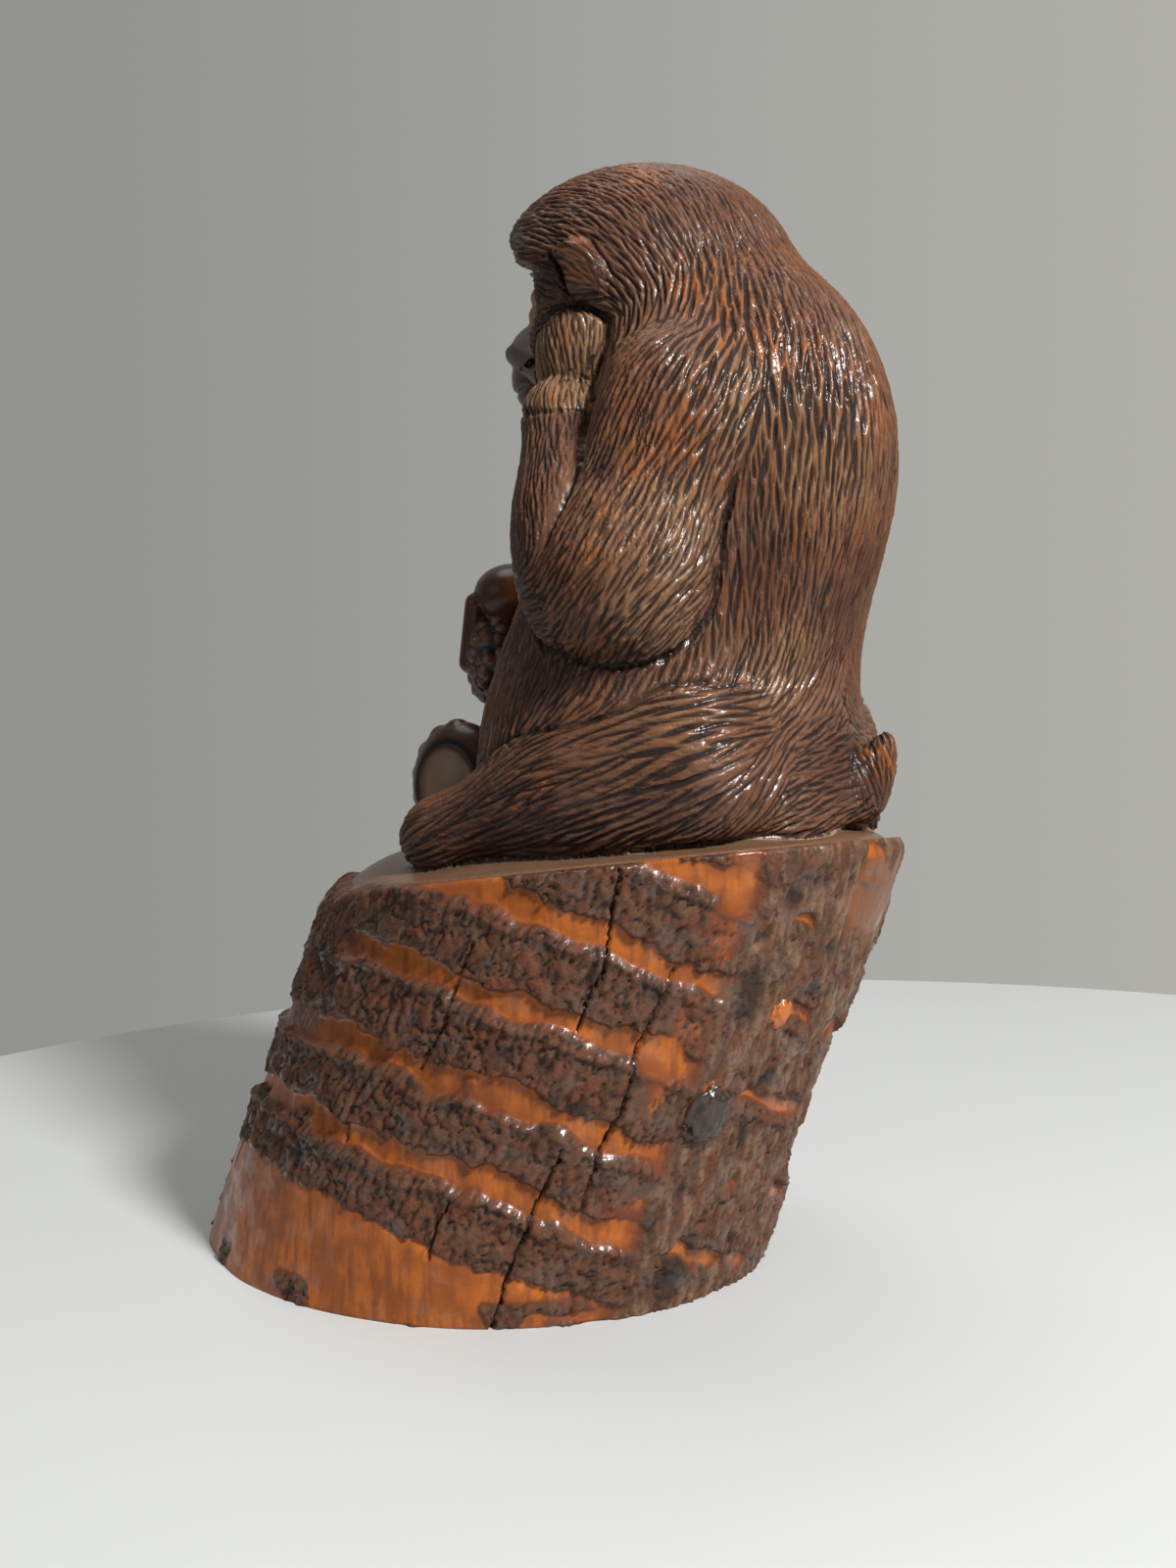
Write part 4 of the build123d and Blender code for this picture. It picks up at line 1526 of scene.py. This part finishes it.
def scar_piece(sizes, node, warmth):
    """A lumpy scar on the root's side, set where its solid is."""
    low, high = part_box(node)
    centre = (low + high) / 2
    axis, _ = stem_directions(sizes)
    middle = Vector(axis * (centre @ Vector(axis)))
    outward = (centre - middle).normalized()
    upward = Vector(axis)
    turn = Matrix((outward.cross(upward), upward, outward)).transposed().to_4x4()
    span = max(high[2] - low[2], 1 * mm)
    ball = bmesh.new()
    bmesh.ops.create_icosphere(ball, subdivisions=5, radius=1.0)
    warm = []
    for vertex in ball.verts:
        swell = 1 + 0.12 * noise.fractal(vertex.co * 2.2, 1.0, 2.0, 3)
        groove = 0.05 * math.sin(9 * vertex.co[0] + 3 * noise.noise(vertex.co * 2))
        vertex.co *= swell + groove
        warm.append(warmth + (1 - warmth) * max(0.0, 0.6 - vertex.co[2]))
    tall = 0.54 * span
    bmesh.ops.transform(ball, matrix=Matrix.Diagonal((0.78 * tall, tall, 0.5 * tall, 1)), verts=ball.verts)
    base = middle + outward * (radius_at(sizes, middle.length) - 0.6 * mm)
    bmesh.ops.transform(ball, matrix=Matrix.Translation(base) @ turn, verts=ball.verts)
    mesh = bpy.data.meshes.new(node)
    ball.to_mesh(mesh)
    ball.free()
    mesh.shade_smooth()
    set_attribute(mesh, "warm", np.array(warm))
    return mesh


# Operators

class CARVING_OT_figure(bpy.types.Operator):
    """Carve the monkey and its ledge"""

    bl_idname = "carving.figure"
    bl_label = "Carve figure"

    def execute(self, context):
        sizes = context.scene.carving_sizes
        colours = context.scene.carving_colours
        skin = Skin(sizes, context.scene.carving_stump, context.scene.carving_stage)
        cut_creases(skin, sizes)
        shape_face(skin)
        shape_ears(skin)
        shape_soles(skin)
        shape_fruit(skin)
        mark_wear_and_painted_light(skin)
        cut_fur(skin, sizes)
        finishes = {
            "fur_wood": fur_finish(colours),
            "bare_wood": bare_finish(colours),
            "eye_wood": eye_finish(colours),
            "fruit_wood": fruit_finish(colours),
            "ledge_wood": ledge_finish(colours),
        }
        slots = {row["node"]: row["material_slot"] for row in frame["record"]["subparts"]}
        divide_skin(skin, finishes, slots)
        return {"FINISHED"}


class CARVING_OT_stump(bpy.types.Operator):
    """Shape the ringed root in two halves"""

    bl_idname = "carving.stump"
    bl_label = "Shape stump"

    def execute(self, context):
        sizes = context.scene.carving_stump
        finish = stump_finish(context.scene.carving_colours)
        first_turn = math.radians(-62)
        for name, turn in (("stump_left", first_turn), ("stump_right", first_turn + math.pi)):
            mesh = half_stump(sizes, turn, name)
            new_piece(name, mesh, "stump_bark", finish, "stump")
        return {"FINISHED"}


class CARVING_OT_scars(bpy.types.Operator):
    """Add the bud and the knot on the root's side"""

    bl_idname = "carving.scars"
    bl_label = "Add scars"

    def execute(self, context):
        sizes = context.scene.carving_stump
        finish = scar_finish(context.scene.carving_colours)
        for node, warmth in (("root_bud", 0.0), ("side_knot", 0.9)):
            new_piece(f"scar_{node}", scar_piece(sizes, node, warmth), "root_scar", finish, node)
        return {"FINISHED"}


class CARVING_OT_stage(bpy.types.Operator):
    """Set the floor, the lights and the camera"""

    bl_idname = "carving.stage"
    bl_label = "Set stage"

    def execute(self, context):
        stage = context.scene.carving_stage
        place, right, up, forward = camera_axes(stage)
        camera = bpy.data.cameras.new("camera")
        width, height, focal = stage.picture
        camera.sensor_fit = "VERTICAL"
        camera.sensor_height = 36.0
        camera.lens = camera.sensor_height * focal / height
        camera.clip_start = 10 * mm
        holder = bpy.data.objects.new("camera", camera)
        holder.matrix_world = Matrix((
            (right[0], up[0], -forward[0], place[0]),
            (right[1], up[1], -forward[1], place[1]),
            (right[2], up[2], -forward[2], place[2]),
            (0, 0, 0, 1),
        ))
        context.scene.collection.objects.link(holder)
        context.scene.camera = holder
        disc = bmesh.new()
        bmesh.ops.create_circle(disc, cap_ends=True, segments=256, radius=stage.floor_radius)
        mesh = bpy.data.meshes.new("floor")
        bmesh.ops.translate(disc, vec=stage.floor_centre, verts=disc.verts)
        disc.to_mesh(mesh)
        disc.free()
        mesh.materials.append(floor_finish(stage))
        floor = bpy.data.objects.new("floor", mesh)
        context.scene.collection.objects.link(floor)
        sheet = bmesh.new()
        bmesh.ops.create_grid(sheet, x_segments=1, y_segments=1, size=stage.wall_half)
        facing = Matrix((right, np.array((0, 0, 1)), np.cross(right, (0, 0, 1)))).transposed().to_4x4()
        behind = Vector(unit(np.array((forward[0], forward[1], 0)))) * stage.wall_distance
        bmesh.ops.transform(sheet, matrix=Matrix.Translation(behind) @ facing, verts=sheet.verts)
        mesh = bpy.data.meshes.new("wall")
        sheet.to_mesh(mesh)
        sheet.free()
        mesh.materials.append(wall_finish(stage))
        wall = bpy.data.objects.new("wall", mesh)
        context.scene.collection.objects.link(wall)
        aim = np.array(stage.aim)
        side = np.array((right[0], right[1], 0))
        near = np.array((-forward[0], -forward[1], 0))
        for name, across, toward, height, size, power in stage_lamps:
            offset = across * side + toward * near + height * np.array((0, 0, 1))
            lamp = bpy.data.lights.new(name, "AREA")
            lamp.shape = "DISK"
            lamp.size = size
            lamp.energy = power
            shown = bpy.data.objects.new(name, lamp)
            shown.location = aim + offset
            shown.rotation_euler = Vector(-offset).to_track_quat("-Z", "Y").to_euler()
            context.scene.collection.objects.link(shown)
        world = bpy.data.worlds.new("surroundings")
        world.use_nodes = True
        world.node_tree.nodes["Background"].inputs["Color"].default_value = (*stage.wall_colour, 1)
        context.scene.world = world
        context.scene.view_settings.view_transform = "Standard"
        return {"FINISHED"}


class CARVING_PT_panel(bpy.types.Panel):
    """Lists the carving's steps and sizes"""

    bl_label = "Carved monkey"
    bl_space_type = "VIEW_3D"
    bl_region_type = "UI"
    bl_category = "Carving"

    def draw(self, context):
        for operator in operators:
            self.layout.operator(operator.bl_idname)
        for label in groups:
            group = getattr(context.scene, label)
            for name in group.__annotations__:
                self.layout.prop(group, name)


groups = {
    "carving_sizes": CarvingSizes,
    "carving_stump": StumpSizes,
    "carving_colours": WoodColours,
    "carving_stage": StageSizes,
}
operators = (CARVING_OT_figure, CARVING_OT_stump, CARVING_OT_scars, CARVING_OT_stage)


def register():
    """Adds the settings, operators and panel."""
    for name, group in groups.items():
        bpy.utils.register_class(group)
        setattr(bpy.types.Scene, name, PointerProperty(type=group))
    for operator in operators:
        bpy.utils.register_class(operator)
    bpy.utils.register_class(CARVING_PT_panel)


def unregister():
    """Removes the settings, operators and panel."""
    bpy.utils.unregister_class(CARVING_PT_panel)
    for operator in operators:
        bpy.utils.unregister_class(operator)
    for name, group in groups.items():
        delattr(bpy.types.Scene, name)
        bpy.utils.unregister_class(group)


def main():
    """Builds the looks in order."""
    register()
    bpy.ops.carving.figure()
    bpy.ops.carving.stump()
    bpy.ops.carving.scars()
    bpy.ops.carving.stage()


if __name__ == "__main__":
    main()
